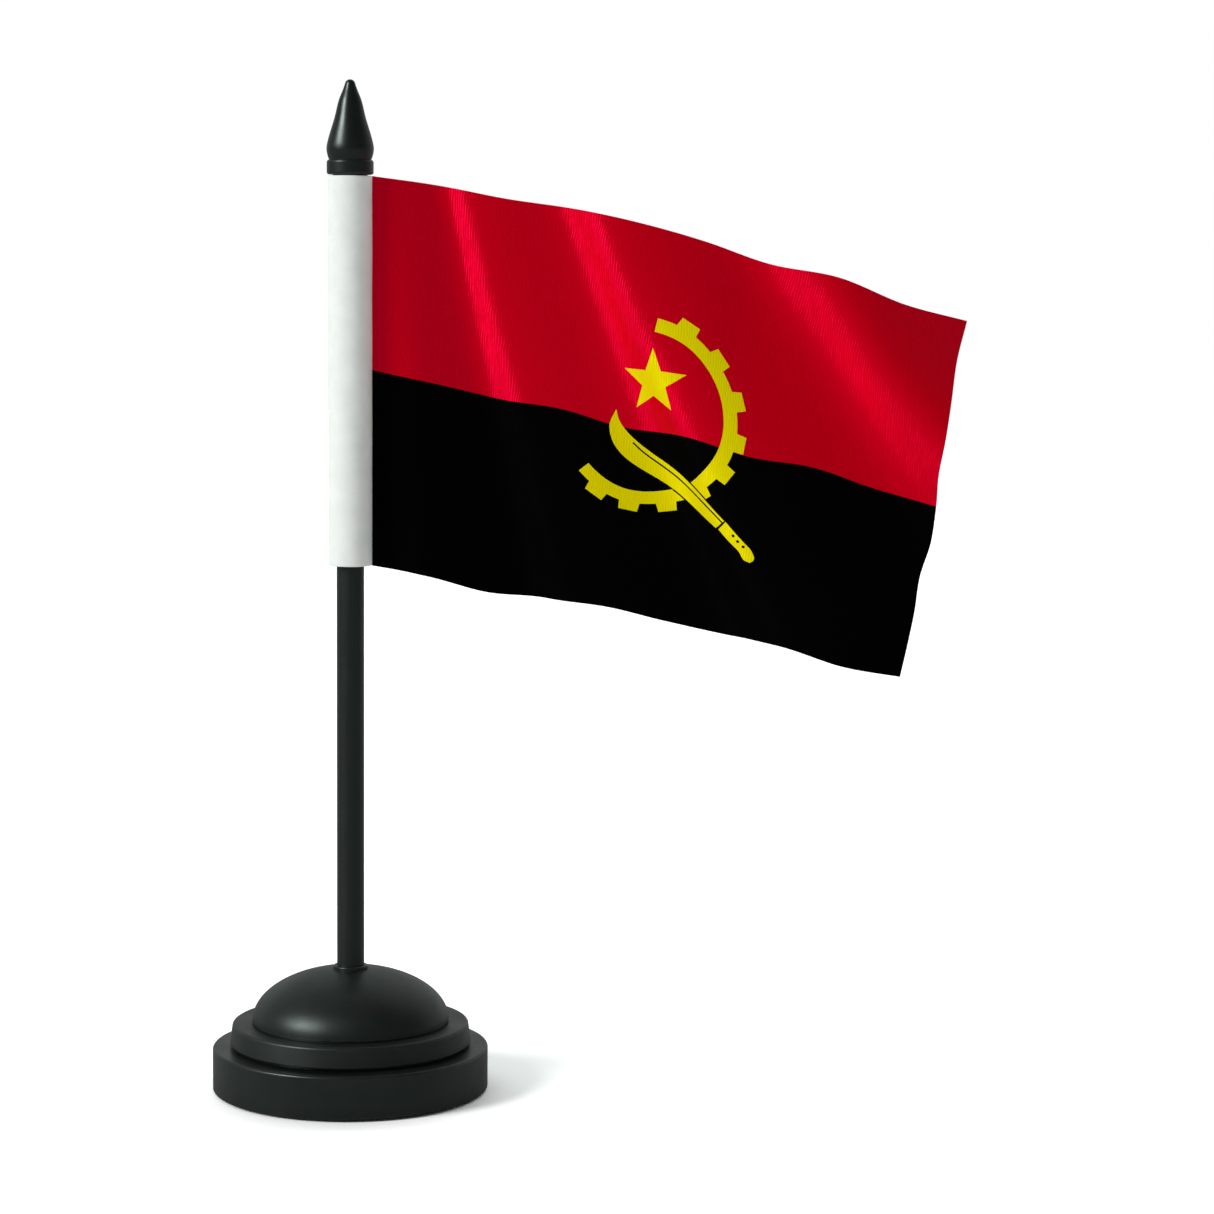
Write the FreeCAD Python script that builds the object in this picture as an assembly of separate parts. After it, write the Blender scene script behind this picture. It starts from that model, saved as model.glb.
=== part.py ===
"""Desk flag stand: a weighted round base, a plastic pole, and a small flag on a sleeve that turns round the pole.

Millimetres. Origin at the middle of the pad's underside, on the table. +Z is up along the pole, and the flag
flies towards +X, with its waves along Y.
"""
import FreeCAD, Part
import math
import os

V = FreeCAD.Vector
os.makedirs("parts", exist_ok=True)

# ---------------------------------------------------------------- driving dimensions
# fits
RUNNING_GAP = 0.05          # radial clearance of a shaft that turns or slides in its hole
LOCATING_GAP = 0.20         # clearance of a register, a screw boss or a screw head
SEAT_GAP = 0.05             # axial gap between two faces that only rest on each other
FREE_GAP = 0.30             # gap between two turning pieces that never touch

# pole
POLE_RADIUS = 3.55
POLE_WALL = 1.0
POLE_FOOT_ROUND = 0.4
POLE_STOPS_SHORT = 6.1      # the pole ends this far below the sleeve's upper end, inside the liner

# foot, the wide lower tier
FOOT_RADIUS = 36.0
FOOT_HEIGHT = 11.3
FOOT_WALL = 2.0
FOOT_LEDGE = 1.2            # how far the ledge that seats the base plate stands in from the wall
FOOT_TOP_ROUND = 0.7
FOOT_BOTTOM_ROUND = 0.5
FOOT_CORNER_ROUND = 0.8

# pad, base plate and ballast
PAD_THICK = 1.5
PAD_PROUD = 0.5             # the pad stands this far out below the foot
PAD_MARGIN = 1.8            # the pad stops this far inside the base plate's edge
PAD_EDGE_ROUND = 0.3
PLATE_THICK = 1.6
BALLAST_MARGIN = 1.8        # the ballast ring stops this far inside the foot's ledge
BALLAST_HUB_SPACE = 1.4
BALLAST_THICK = 4.0
BALLAST_EDGE_ROUND = 0.4

# dome cover, the step and the dome above the foot
FOOT_SHELF = 4.5            # how far the foot stands out beyond the step
STEP_TAPER = 0.7
STEP_HEIGHT = 5.4
STEP_ROUND = 0.8
STEP_FOOT_ROUND = 0.4
STEP_SHELF = 5.1            # how far the step's top stands out beyond the dome
DOME_HEIGHT = 13.8
DOME_GROOVE = 0.5           # width and height of the small groove round the dome's foot
NECK_HEIGHT = 0.8           # height of the shadow gap between foot and step
NECK_INSET = 1.9            # how far the neck in that gap stands in from the step's lower edge
REGISTER_INSET = 2.6        # from the neck in to the round opening in the foot's top
COVER_WALL = 2.0
HUB_WALL = 2.35
HUB_FLOOR = 1.4

# screws
SCREW_COUNT = 3
SCREW_RADIUS = 1.25         # outside radius of the thread
SCREW_CORE = 0.95
SCREW_PITCH = 1.1
SCREW_LENGTH = 8.0          # under the head
SCREW_HEAD_RADIUS = 2.4
SCREW_HEAD_THICK = 1.2
SCREW_HEAD_ROUND = 0.4
RECESS_REACH = 0.9          # half the length of each arm of the cross recess
RECESS_WIDTH = 0.5
RECESS_DEPTH = 0.7
PILOT_SPARE = 1.0           # the pilot hole goes this much deeper than the screw
BOSS_RADIUS = 3.2
BOSS_MARGIN = 0.6           # between a boss and the inner wall of the cover

# ferrule
FERRULE_WALL = 0.6
FERRULE_LIP = 0.3           # how far the flange stands out beyond the ferrule's body
FERRULE_FLANGE_THICK = 1.0
FERRULE_LENGTH = 16.0
FERRULE_ROUND = 0.4
FLANGE_SUNK = 0.3           # depth of the flat seat in the dome's top

# sleeve, its liner and what carries them
SLEEVE_BOTTOM = 138.1       # above the table
SLEEVE_THICK = 0.5
SLEEVE_ROUND = 0.2
LINER_SPACE = 0.95          # between pole and liner
LINER_WALL = 0.7
LINER_INSET = 0.3           # the liner stops this far inside each end of the sleeve
COLLAR_RISE = 1.5           # the collar starts this far above the sleeve's lower end
COLLAR_HEIGHT = 3.0
COLLAR_ROUND = 0.3
BUSH_HEIGHT = 6.0

# finial
FINIAL_LENGTH = 24.1        # above the sleeve
FINIAL_TIP_ROUND = 1.35
FINIAL_FLANK_LEAN = 15.0    # degrees that the flank leans in, just below the tip
# points of the flank between tip and belly: share of the way out, share of the way up
FINIAL_FLANK = ((0.33, 0.75), (0.53, 0.52), (0.77, 0.29), (0.955, 0.10))
FINIAL_OVERHANG = 0.3       # how far the bead ring stands out beyond the sleeve
FINIAL_SWELL = 0.06         # how far the belly stands out beyond the bead ring
FINIAL_WAIST_DEPTH = 0.6    # how far the waist between them is drawn in
FINIAL_BELLY_HEIGHT = 6.4   # belly above the bead ring's lower face
FINIAL_RING_HEIGHT = 3.8
FINIAL_RING_ROUND = 0.8
FINIAL_RING_SLOPE = 0.25    # the ring's upper face falls this much towards its rim
FINIAL_RING_FOOT_ROUND = 0.6
SPIGOT_LENGTH = 12.0
SPIGOT_CHAMFER = 0.5

# flag
FLAG_HOIST = 100.0
FLAG_FLY = 160.0
FLAG_THICK = 0.45
FLAG_TUCK = 0.35            # how far the cloth's hoist edge is held in the sleeve's wall
# fall of three long threads of the cloth, in percent of the fly, at ten even steps of their reach
FALL_TOP = (0.0, 1.4, 3.4, 4.9, 7.1, 10.0, 13.6, 15.6, 19.8, 22.5)
FALL_MIDDLE = (0.0, 2.2, 4.6, 6.1, 9.1, 10.3, 13.4, 15.1, 18.6, 21.4)
FALL_BOTTOM = (0.0, 1.8, 4.7, 5.6, 6.7, 9.1, 11.2, 12.4, 15.4, 17.2)
# reach of the cloth from the sleeve, in percent of the fly, at eleven even places down the fly edge
REACH = (96.3, 94.4, 93.3, 92.3, 91.4, 91.4, 90.8, 89.0, 88.1, 86.9, 85.6)
WAVE_STEEP_TOP = 0.44       # steepest slope of the first wave at the top edge and at the bottom edge
WAVE_STEEP_BOTTOM = 0.58
WAVE_RISE = 0.15            # how much steeper each later wave is
WAVE_SHAPE = (0.623, 0.135, 0.028, 0.005)   # harmonics of a wave with a steep front and a long flat back
WAVE_START = 16.0           # the waves grow from nothing to full depth over this much cloth
WAVE_LENGTH_TOP = 15.4      # how fast the first wave passes at the top edge and at the bottom edge
WAVE_LENGTH_BOTTOM = 34.2
WAVE_GROWTH_TOP = 5.6       # how much slower each later wave passes
WAVE_GROWTH_BOTTOM = 9.3
WAVE_HURRY_TOP = 2.1        # and how much longer still the third wave is
WAVE_HURRY_BOTTOM = 5.1
# depth of the slow bend under the waves, at every half wave, and how much deeper it is at the bottom edge
SLOW_BEND = (0.0, 2.0, 3.4, 2.2, 0.4, -1.8, -0.8, 5.0, 14.0)
BEND_GAIN_BOTTOM = 2.2
WAVE_LEAN = 9.0             # how far the first wave has moved towards the fly at the bottom edge
WAVE_STEPS_U = 48
WAVE_STEPS_V = 12
FINE_STEPS = 8              # steps of the walk along a thread, for each point that is kept
NUDGE = 0.001               # share of the reach over which a slope is measured

# ---------------------------------------------------------------- levels and radii that follow from them
POLE_BORE_RADIUS = POLE_RADIUS - POLE_WALL
POLE_HOLE_RADIUS = POLE_RADIUS + RUNNING_GAP
PLATE_TOP = PAD_THICK + PLATE_THICK
FOOT_TOP = PAD_PROUD + FOOT_HEIGHT
FOOT_TOP_UNDERSIDE = FOOT_TOP - FOOT_WALL
FOOT_INNER_RADIUS = FOOT_RADIUS - FOOT_WALL
LEDGE_RADIUS = FOOT_INNER_RADIUS - FOOT_LEDGE
PLATE_RADIUS = FOOT_INNER_RADIUS - LOCATING_GAP
PAD_RADIUS = PLATE_RADIUS - PAD_MARGIN
STEP_LOWER_RADIUS = FOOT_RADIUS - FOOT_SHELF
STEP_UPPER_RADIUS = STEP_LOWER_RADIUS - STEP_TAPER
NECK_RADIUS = STEP_LOWER_RADIUS - NECK_INSET
NECK_TOP = FOOT_TOP + NECK_HEIGHT
STEP_TOP = NECK_TOP + STEP_HEIGHT
DOME_RADIUS = STEP_UPPER_RADIUS - STEP_SHELF
DOME_FOOT = STEP_TOP + DOME_GROOVE
DOME_TOP = DOME_FOOT + DOME_HEIGHT
FOOT_HOLE_RADIUS = NECK_RADIUS - REGISTER_INSET
REGISTER_RADIUS = FOOT_HOLE_RADIUS - LOCATING_GAP
COVER_INNER_RADIUS = REGISTER_RADIUS - COVER_WALL
SCREW_CIRCLE = COVER_INNER_RADIUS - BOSS_MARGIN - BOSS_RADIUS
SCREW_HEAD_TOP = PAD_THICK + SCREW_HEAD_THICK
SCREW_TIP = SCREW_HEAD_TOP + SCREW_LENGTH
FERRULE_RADIUS = POLE_HOLE_RADIUS + FERRULE_WALL
FERRULE_HOLE_RADIUS = FERRULE_RADIUS + RUNNING_GAP
FLANGE_RADIUS = FERRULE_RADIUS + FERRULE_LIP
FLANGE_SEAT = DOME_TOP - FLANGE_SUNK
FLANGE_BOTTOM = FLANGE_SEAT + SEAT_GAP
FERRULE_TOP = FLANGE_BOTTOM + FERRULE_FLANGE_THICK
FERRULE_BOTTOM = FERRULE_TOP - FERRULE_LENGTH
HUB_RADIUS = FERRULE_HOLE_RADIUS + HUB_WALL
HUB_BOTTOM = PLATE_TOP + LOCATING_GAP
HUB_FLOOR_TOP = HUB_BOTTOM + HUB_FLOOR
POLE_BOTTOM = HUB_FLOOR_TOP + SEAT_GAP
BALLAST_TOP = PLATE_TOP + BALLAST_THICK
BALLAST_RADIUS = LEDGE_RADIUS - BALLAST_MARGIN
BALLAST_HOLE_RADIUS = HUB_RADIUS + BALLAST_HUB_SPACE
LINER_BORE_RADIUS = POLE_RADIUS + LINER_SPACE
LINER_RADIUS = LINER_BORE_RADIUS + LINER_WALL
SLEEVE_RADIUS = LINER_RADIUS + SLEEVE_THICK
SLEEVE_TOP = SLEEVE_BOTTOM + FLAG_HOIST
COLLAR_RADIUS = LINER_BORE_RADIUS - LOCATING_GAP
COLLAR_BOTTOM = SLEEVE_BOTTOM + COLLAR_RISE
COLLAR_TOP = COLLAR_BOTTOM + COLLAR_HEIGHT
BUSH_BOTTOM = COLLAR_TOP + SEAT_GAP
POLE_TOP = SLEEVE_TOP - POLE_STOPS_SHORT
FINIAL_SEAT = SLEEVE_TOP + FREE_GAP
FINIAL_TIP = FINIAL_SEAT + FINIAL_LENGTH
FINIAL_RING_RADIUS = SLEEVE_RADIUS + FINIAL_OVERHANG
FINIAL_BELLY_RADIUS = FINIAL_RING_RADIUS + FINIAL_SWELL
FINIAL_WAIST_RADIUS = FINIAL_RING_RADIUS - FINIAL_WAIST_DEPTH
FINIAL_WAIST = FINIAL_SEAT + FINIAL_RING_HEIGHT
SHOULDER_RADIUS = LINER_BORE_RADIUS - RUNNING_GAP
SHOULDER_BOTTOM = POLE_TOP + SEAT_GAP
SPIGOT_RADIUS = POLE_BORE_RADIUS - RUNNING_GAP
SPIGOT_END = SHOULDER_BOTTOM - SPIGOT_LENGTH


# ---------------------------------------------------------------- helpers
def edge(a, b):
    return Part.LineSegment(V(a[0], 0, a[1]), V(b[0], 0, b[1])).toShape()


def rounded(points):
    """Closed outline in the XZ plane. Each point is (r, z) or (r, z, radius of its rounded corner)."""
    n = len(points)
    starts = []
    ends = []
    arcs = []
    for i in range(n):
        here = V(points[i][0], 0, points[i][1])
        radius = points[i][2] if len(points[i]) > 2 else 0.0
        if radius == 0.0:
            starts.append(here)
            ends.append(here)
            arcs.append(None)
            continue
        before = V(points[i - 1][0], 0, points[i - 1][1])
        after = V(points[(i + 1) % n][0], 0, points[(i + 1) % n][1])
        to_before = (before - here).normalize()
        to_after = (after - here).normalize()
        half = to_before.getAngle(to_after) / 2
        reach = radius / math.tan(half)
        start = here + to_before * reach
        end = here + to_after * reach
        bisector = (to_before + to_after).normalize()
        middle = here + bisector * (radius / math.sin(half) - radius)
        starts.append(start)
        ends.append(end)
        arcs.append(Part.Arc(start, middle, end).toShape())
    edges = []
    for i in range(n):
        if arcs[i]:
            edges.append(arcs[i])
        leave = ends[i]
        arrive = starts[(i + 1) % n]
        if leave.distanceToPoint(arrive) > 1e-6:
            edges.append(Part.LineSegment(leave, arrive).toShape())
    return Part.Wire(edges)


def turned(outline):
    """Solid of revolution of an outline about the pole's axis."""
    return Part.Face(outline).revolve(V(0, 0, 0), V(0, 0, 1), 360)


def cylinder(radius, low, high, x=0.0, y=0.0):
    return Part.makeCylinder(radius, high - low, V(x, y, low))


def tube(outer, inner, low, high):
    return cylinder(outer, low, high).cut(cylinder(inner, low - 1, high + 1))


def screw_places():
    for i in range(SCREW_COUNT):
        angle = math.radians(90 + 360 / SCREW_COUNT * i)
        yield SCREW_CIRCLE * math.cos(angle), SCREW_CIRCLE * math.sin(angle)


def save(node, shape):
    shape.exportStep("parts/" + node + ".step")
    print(node, "solids", len(shape.Solids), "volume", round(shape.Volume, 1), "valid", shape.isValid())


# ---------------------------------------------------------------- the base
def foot_pad():
    """Soft foam disc stuck under the base plate, with a hole below each screw head."""
    pad = turned(rounded([(0, 0), (PAD_RADIUS, 0, PAD_EDGE_ROUND), (PAD_RADIUS, PAD_THICK), (0, PAD_THICK)]))
    for x, y in screw_places():
        pad = pad.cut(cylinder(SCREW_HEAD_RADIUS + LOCATING_GAP, -1, PAD_THICK + 1, x, y))
    return pad


def base_plate():
    """Flat round plate that closes the foot from below. The screw heads sink into it."""
    plate = cylinder(PLATE_RADIUS, PAD_THICK, PLATE_TOP)
    for x, y in screw_places():
        plate = plate.cut(cylinder(SCREW_RADIUS + LOCATING_GAP, PAD_THICK, PLATE_TOP, x, y))
        plate = plate.cut(cylinder(SCREW_HEAD_RADIUS + LOCATING_GAP, PAD_THICK - 1, SCREW_HEAD_TOP, x, y))
    return plate


def ballast_plate():
    """Steel ring that gives the base its weight. The cover's bosses and hub pass through it."""
    ring = turned(rounded([
        (BALLAST_HOLE_RADIUS, PLATE_TOP), (BALLAST_RADIUS, PLATE_TOP, BALLAST_EDGE_ROUND),
        (BALLAST_RADIUS, BALLAST_TOP, BALLAST_EDGE_ROUND), (BALLAST_HOLE_RADIUS, BALLAST_TOP)]))
    for x, y in screw_places():
        ring = ring.cut(cylinder(BOSS_RADIUS + LOCATING_GAP, PLATE_TOP - 1, BALLAST_TOP + 1, x, y))
    return ring


def foot_shell():
    """Wide lower tier: a wall with a ledge for the base plate, and a top with a round opening."""
    return turned(rounded([
        (FOOT_INNER_RADIUS, PAD_PROUD), (FOOT_RADIUS, PAD_PROUD, FOOT_BOTTOM_ROUND),
        (FOOT_RADIUS, FOOT_TOP, FOOT_TOP_ROUND), (FOOT_HOLE_RADIUS, FOOT_TOP),
        (FOOT_HOLE_RADIUS, FOOT_TOP_UNDERSIDE), (LEDGE_RADIUS, FOOT_TOP_UNDERSIDE, FOOT_CORNER_ROUND),
        (LEDGE_RADIUS, PLATE_TOP), (FOOT_INNER_RADIUS, PLATE_TOP)]))


def dome(radius, top, low):
    """Half an ellipsoid that stands on the level low, with its top at the level top."""
    curve = Part.Ellipse(V(radius, 0, low), V(0, 0, top), V(0, 0, low))
    side = Part.Arc(curve, 0, math.pi / 2).toShape()
    return turned(Part.Wire([side, edge((0, top), (0, low)), edge((0, low), (radius, low))]))


def dome_cover():
    """Upper moulding: neck, step and dome in one, with the pole's hub and the screw bosses inside."""
    outside = turned(rounded([
        (0, FOOT_TOP_UNDERSIDE), (REGISTER_RADIUS, FOOT_TOP_UNDERSIDE), (REGISTER_RADIUS, FOOT_TOP),
        (NECK_RADIUS, FOOT_TOP), (NECK_RADIUS, NECK_TOP), (STEP_LOWER_RADIUS, NECK_TOP, STEP_FOOT_ROUND),
        (STEP_UPPER_RADIUS, STEP_TOP, STEP_ROUND), (0, STEP_TOP)]))
    groove_radius = DOME_RADIUS - DOME_GROOVE
    outside = outside.fuse(cylinder(groove_radius, FOOT_TOP, DOME_FOOT))
    outside = outside.fuse(dome(DOME_RADIUS, DOME_TOP, DOME_FOOT))
    ceiling = STEP_TOP - COVER_WALL
    inside = cylinder(COVER_INNER_RADIUS, FOOT_TOP_UNDERSIDE - 1, ceiling)
    inside = inside.fuse(dome(groove_radius - COVER_WALL, DOME_TOP - COVER_WALL, ceiling))
    cover = outside.cut(inside)
    # the hub and the bosses run up into the dome and end in its wall
    cover = cover.fuse(cylinder(HUB_RADIUS, HUB_BOTTOM, DOME_TOP - COVER_WALL))
    for x, y in screw_places():
        cover = cover.fuse(cylinder(BOSS_RADIUS, HUB_BOTTOM, STEP_TOP, x, y))
    cover = cover.cut(cylinder(FLANGE_RADIUS + FREE_GAP, FLANGE_SEAT, DOME_TOP + 1))
    cover = cover.cut(cylinder(FERRULE_HOLE_RADIUS, FERRULE_BOTTOM - SEAT_GAP, DOME_TOP + 1))
    cover = cover.cut(cylinder(POLE_HOLE_RADIUS, HUB_FLOOR_TOP, DOME_TOP))
    for x, y in screw_places():
        cover = cover.cut(cylinder(SCREW_CORE, HUB_BOTTOM - 1, SCREW_TIP + PILOT_SPARE, x, y))
    return cover.removeSplitter()


def base_screw(x, y):
    """Self-tapping screw with a pan head and a cross recess. Its thread is a stack of sharp rings."""
    outline = [(0, PAD_THICK), (SCREW_HEAD_RADIUS, PAD_THICK, SCREW_HEAD_ROUND),
               (SCREW_HEAD_RADIUS, SCREW_HEAD_TOP), (SCREW_CORE, SCREW_HEAD_TOP)]
    low = PLATE_TOP + SCREW_PITCH
    while low + 2 * SCREW_PITCH < SCREW_TIP:
        outline += [(SCREW_CORE, low), (SCREW_RADIUS, low + 0.3 * SCREW_PITCH), (SCREW_CORE, low + 0.6 * SCREW_PITCH)]
        low += SCREW_PITCH
    outline += [(SCREW_CORE, SCREW_TIP - SCREW_PITCH), (0, SCREW_TIP)]
    screw = turned(rounded(outline))
    for angle in (0, 90):
        corner = V(-RECESS_REACH, -RECESS_WIDTH / 2, PAD_THICK)
        arm = Part.makeBox(2 * RECESS_REACH, RECESS_WIDTH, RECESS_DEPTH, corner)
        arm.rotate(V(0, 0, 0), V(0, 0, 1), angle)
        screw = screw.cut(arm)
    screw.translate(V(x, y, 0))
    return screw


# ---------------------------------------------------------------- the pole
def pole_ferrule():
    """Flanged collar that lines the top of the hub and steadies the pole."""
    return turned(rounded([
        (POLE_HOLE_RADIUS, FERRULE_BOTTOM), (FERRULE_RADIUS, FERRULE_BOTTOM, FERRULE_ROUND),
        (FERRULE_RADIUS, FLANGE_BOTTOM), (FLANGE_RADIUS, FLANGE_BOTTOM),
        (FLANGE_RADIUS, FERRULE_TOP, FERRULE_ROUND), (POLE_HOLE_RADIUS, FERRULE_TOP)]))


def pole_tube():
    return turned(rounded([
        (POLE_BORE_RADIUS, POLE_BOTTOM), (POLE_RADIUS, POLE_BOTTOM, POLE_FOOT_ROUND),
        (POLE_RADIUS, POLE_TOP), (POLE_BORE_RADIUS, POLE_TOP)]))


def sleeve_stop_collar():
    """Ring fixed on the pole that the turning sleeve rests on."""
    return turned(rounded([
        (POLE_RADIUS, COLLAR_BOTTOM), (COLLAR_RADIUS, COLLAR_BOTTOM, COLLAR_ROUND),
        (COLLAR_RADIUS, COLLAR_TOP), (POLE_RADIUS, COLLAR_TOP)]))


# ---------------------------------------------------------------- what turns with the flag
def liner_bush():
    """Bearing bush in the lower end of the liner. It runs on the pole and rests on the stop collar."""
    return tube(LINER_BORE_RADIUS, POLE_HOLE_RADIUS, BUSH_BOTTOM, BUSH_BOTTOM + BUSH_HEIGHT)


def sleeve_liner():
    """Stiff thin tube that keeps the cloth sleeve round."""
    return tube(LINER_RADIUS, LINER_BORE_RADIUS, SLEEVE_BOTTOM + LINER_INSET, SLEEVE_TOP - LINER_INSET)


def flag_sleeve():
    """Cloth sleeve, at its true outside size, over the whole hoist of the flag."""
    return turned(rounded([
        (LINER_RADIUS, SLEEVE_BOTTOM, SLEEVE_ROUND), (SLEEVE_RADIUS, SLEEVE_BOTTOM, SLEEVE_ROUND),
        (SLEEVE_RADIUS, SLEEVE_TOP, SLEEVE_ROUND), (LINER_RADIUS, SLEEVE_TOP, SLEEVE_ROUND)]))


def smooth(values, share):
    """Value at share (0 to 1) of a smooth curve through evenly spaced values."""
    last = len(values) - 1
    place = min(max(share, 0.0), 1.0) * last
    i = min(int(place), last - 1)
    f = place - i
    p1 = values[i]
    p2 = values[i + 1]
    p0 = values[i - 1] if i > 0 else 2 * p1 - p2
    p3 = values[i + 2] if i + 2 <= last else 2 * p2 - p1
    return p1 + 0.5 * f * (p2 - p0 + f * (2 * p0 - 5 * p1 + 4 * p2 - p3 + f * (3 * (p1 - p2) + p3 - p0)))


def fall(share, drop):
    """How far the cloth has fallen at this share of its reach, at this share of the drop."""
    top = smooth(FALL_TOP, share)
    middle = smooth(FALL_MIDDLE, share)
    bottom = smooth(FALL_BOTTOM, share)
    mixed = top * (1 - drop) * (1 - 2 * drop) + middle * 4 * drop * (1 - drop) + bottom * drop * (2 * drop - 1)
    return mixed * FLAG_FLY / 100


def wave(along, drop):
    """Depth of the cloth along Y. The crests lean towards the fly as they run down, and widen out."""
    length = WAVE_LENGTH_TOP + (WAVE_LENGTH_BOTTOM - WAVE_LENGTH_TOP) * drop
    growth = WAVE_GROWTH_TOP + (WAVE_GROWTH_BOTTOM - WAVE_GROWTH_TOP) * drop
    hurry = WAVE_HURRY_TOP + (WAVE_HURRY_BOTTOM - WAVE_HURRY_TOP) * drop
    count = 1.0
    for _ in range(8):
        passed = count * (length + growth * count + hurry * (count - 1) * (count - 2)) + WAVE_LEAN * drop
        rate = length + 2 * growth * count + hurry * (3 * count ** 2 - 6 * count + 2)
        count = count + (along - passed) / rate
    ramp = min(along / WAVE_START, 1.0)
    depth = (WAVE_STEEP_TOP + (WAVE_STEEP_BOTTOM - WAVE_STEEP_TOP) * drop) * rate / (2 * math.pi)
    depth = depth * (1 + WAVE_RISE * (count - 1)) * ramp * ramp * (3 - 2 * ramp)
    swell = sum(share * math.sin(2 * math.pi * (i + 1) * count) for i, share in enumerate(WAVE_SHAPE))
    bend = smooth(SLOW_BEND, count / 4) * (1 + (BEND_GAIN_BOTTOM - 1) * drop)
    return bend - depth * swell


def thread(drop):
    """Points of one long thread of the cloth, at even steps of its own length."""
    reach = smooth(REACH, drop) * FLAG_FLY / 100
    step = FLAG_FLY / (WAVE_STEPS_U * FINE_STEPS)
    run = [0.0]
    for i in range(WAVE_STEPS_U * FINE_STEPS):
        deep = (wave((i + 1) * step, drop) - wave(i * step, drop)) / step
        share = min(run[-1] / reach, 1 - NUDGE)
        steep = (fall(share + NUDGE, drop) - fall(share, drop)) / (NUDGE * reach)
        run.append(run[-1] + step * math.sqrt(max(1 - deep ** 2, 0.05)) / math.sqrt(1 + steep ** 2))
    points = []
    for i in range(WAVE_STEPS_U + 1):
        share = run[i * FINE_STEPS] / run[-1]
        x = SLEEVE_RADIUS - FLAG_TUCK + share * reach
        y = wave(i * FINE_STEPS * step, drop)
        points.append(V(x, y, SLEEVE_TOP - FLAG_HOIST * drop - fall(share, drop)))
    print("thread at", round(drop, 2), "of the drop is stretched", round(reach / run[-1], 3), "times")
    return points


def flag_cloth():
    """The flag, a thin closed sheet that waves in depth and falls towards its fly end."""
    rows = [thread(j / WAVE_STEPS_V) for j in range(WAVE_STEPS_V + 1)]
    sides = []
    for sign in (-0.5, 0.5):
        grid = []
        for j in range(WAVE_STEPS_V + 1):
            line = []
            for i in range(WAVE_STEPS_U + 1):
                along = rows[j][min(i + 1, WAVE_STEPS_U)] - rows[j][max(i - 1, 0)]
                down = rows[min(j + 1, WAVE_STEPS_V)][i] - rows[max(j - 1, 0)][i]
                normal = along.cross(down).normalize()
                line.append(rows[j][i] + normal * (sign * FLAG_THICK))
            grid.append(line)
        surface = Part.BSplineSurface()
        surface.interpolate(grid)
        sides.append(surface)
    back, front = sides
    u0, u1, v0, v1 = back.bounds()
    faces = [back.toShape(), front.toShape()]
    for value in (u0, u1):
        faces.append(Part.makeRuledSurface(back.uIso(value).toShape(), front.uIso(value).toShape()))
    for value in (v0, v1):
        faces.append(Part.makeRuledSurface(back.vIso(value).toShape(), front.vIso(value).toShape()))
    shell = Part.makeShell(faces)
    shell.sewShape()
    cloth = Part.makeSolid(shell)
    if cloth.Volume < 0:
        cloth.reverse()
    return cloth


# ---------------------------------------------------------------- the finial
def spear():
    """Pointed upper part: a rounded tip, straight flanks that swell into a belly, and a waist below it."""
    belly = FINIAL_SEAT + FINIAL_BELLY_HEIGHT
    tip_centre = FINIAL_TIP - FINIAL_TIP_ROUND
    lean = math.radians(FINIAL_FLANK_LEAN)
    halfway = (math.pi / 2 + lean) / 2
    flank = V(FINIAL_TIP_ROUND * math.cos(lean), 0, tip_centre + FINIAL_TIP_ROUND * math.sin(lean))
    crown = V(FINIAL_TIP_ROUND * math.cos(halfway), 0, tip_centre + FINIAL_TIP_ROUND * math.sin(halfway))
    tip = Part.Arc(V(0, 0, FINIAL_TIP), crown, flank).toShape()
    points = [flank]
    for share_out, share_up in FINIAL_FLANK:
        out = share_out * (FINIAL_BELLY_RADIUS - flank.x)
        points.append(V(flank.x + out, 0, belly + share_up * (flank.z - belly)))
    points.append(V(FINIAL_BELLY_RADIUS, 0, belly))
    side = Part.BSplineCurve()
    side.interpolate(points, InitialTangent=V(math.sin(lean), 0, -math.cos(lean)), FinalTangent=V(0, 0, -1))
    drawn_in = FINIAL_BELLY_RADIUS - FINIAL_WAIST_RADIUS
    middle = V(FINIAL_BELLY_RADIUS - 0.3 * drawn_in, 0, (belly + FINIAL_WAIST) / 2)
    under = Part.Arc(V(FINIAL_BELLY_RADIUS, 0, belly), middle, V(FINIAL_WAIST_RADIUS, 0, FINIAL_WAIST)).toShape()
    floor = edge((FINIAL_WAIST_RADIUS, FINIAL_WAIST), (0, FINIAL_WAIST))
    return turned(Part.Wire([tip, side.toShape(), under, floor, edge((0, FINIAL_WAIST), (0, FINIAL_TIP))]))


def finial():
    """Spear and bead ring in one moulding, on a shoulder that centres the liner and a spigot in the pole."""
    stem = turned(rounded([
        (0, FINIAL_WAIST), (0, SPIGOT_END), (SPIGOT_RADIUS - SPIGOT_CHAMFER, SPIGOT_END),
        (SPIGOT_RADIUS, SPIGOT_END + SPIGOT_CHAMFER), (SPIGOT_RADIUS, SHOULDER_BOTTOM),
        (SHOULDER_RADIUS, SHOULDER_BOTTOM), (SHOULDER_RADIUS, FINIAL_SEAT),
        (FINIAL_RING_RADIUS, FINIAL_SEAT, FINIAL_RING_FOOT_ROUND),
        (FINIAL_RING_RADIUS, FINIAL_WAIST - FINIAL_RING_SLOPE, FINIAL_RING_ROUND),
        (FINIAL_WAIST_RADIUS, FINIAL_WAIST)]))
    return stem.fuse(spear()).removeSplitter()


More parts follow.
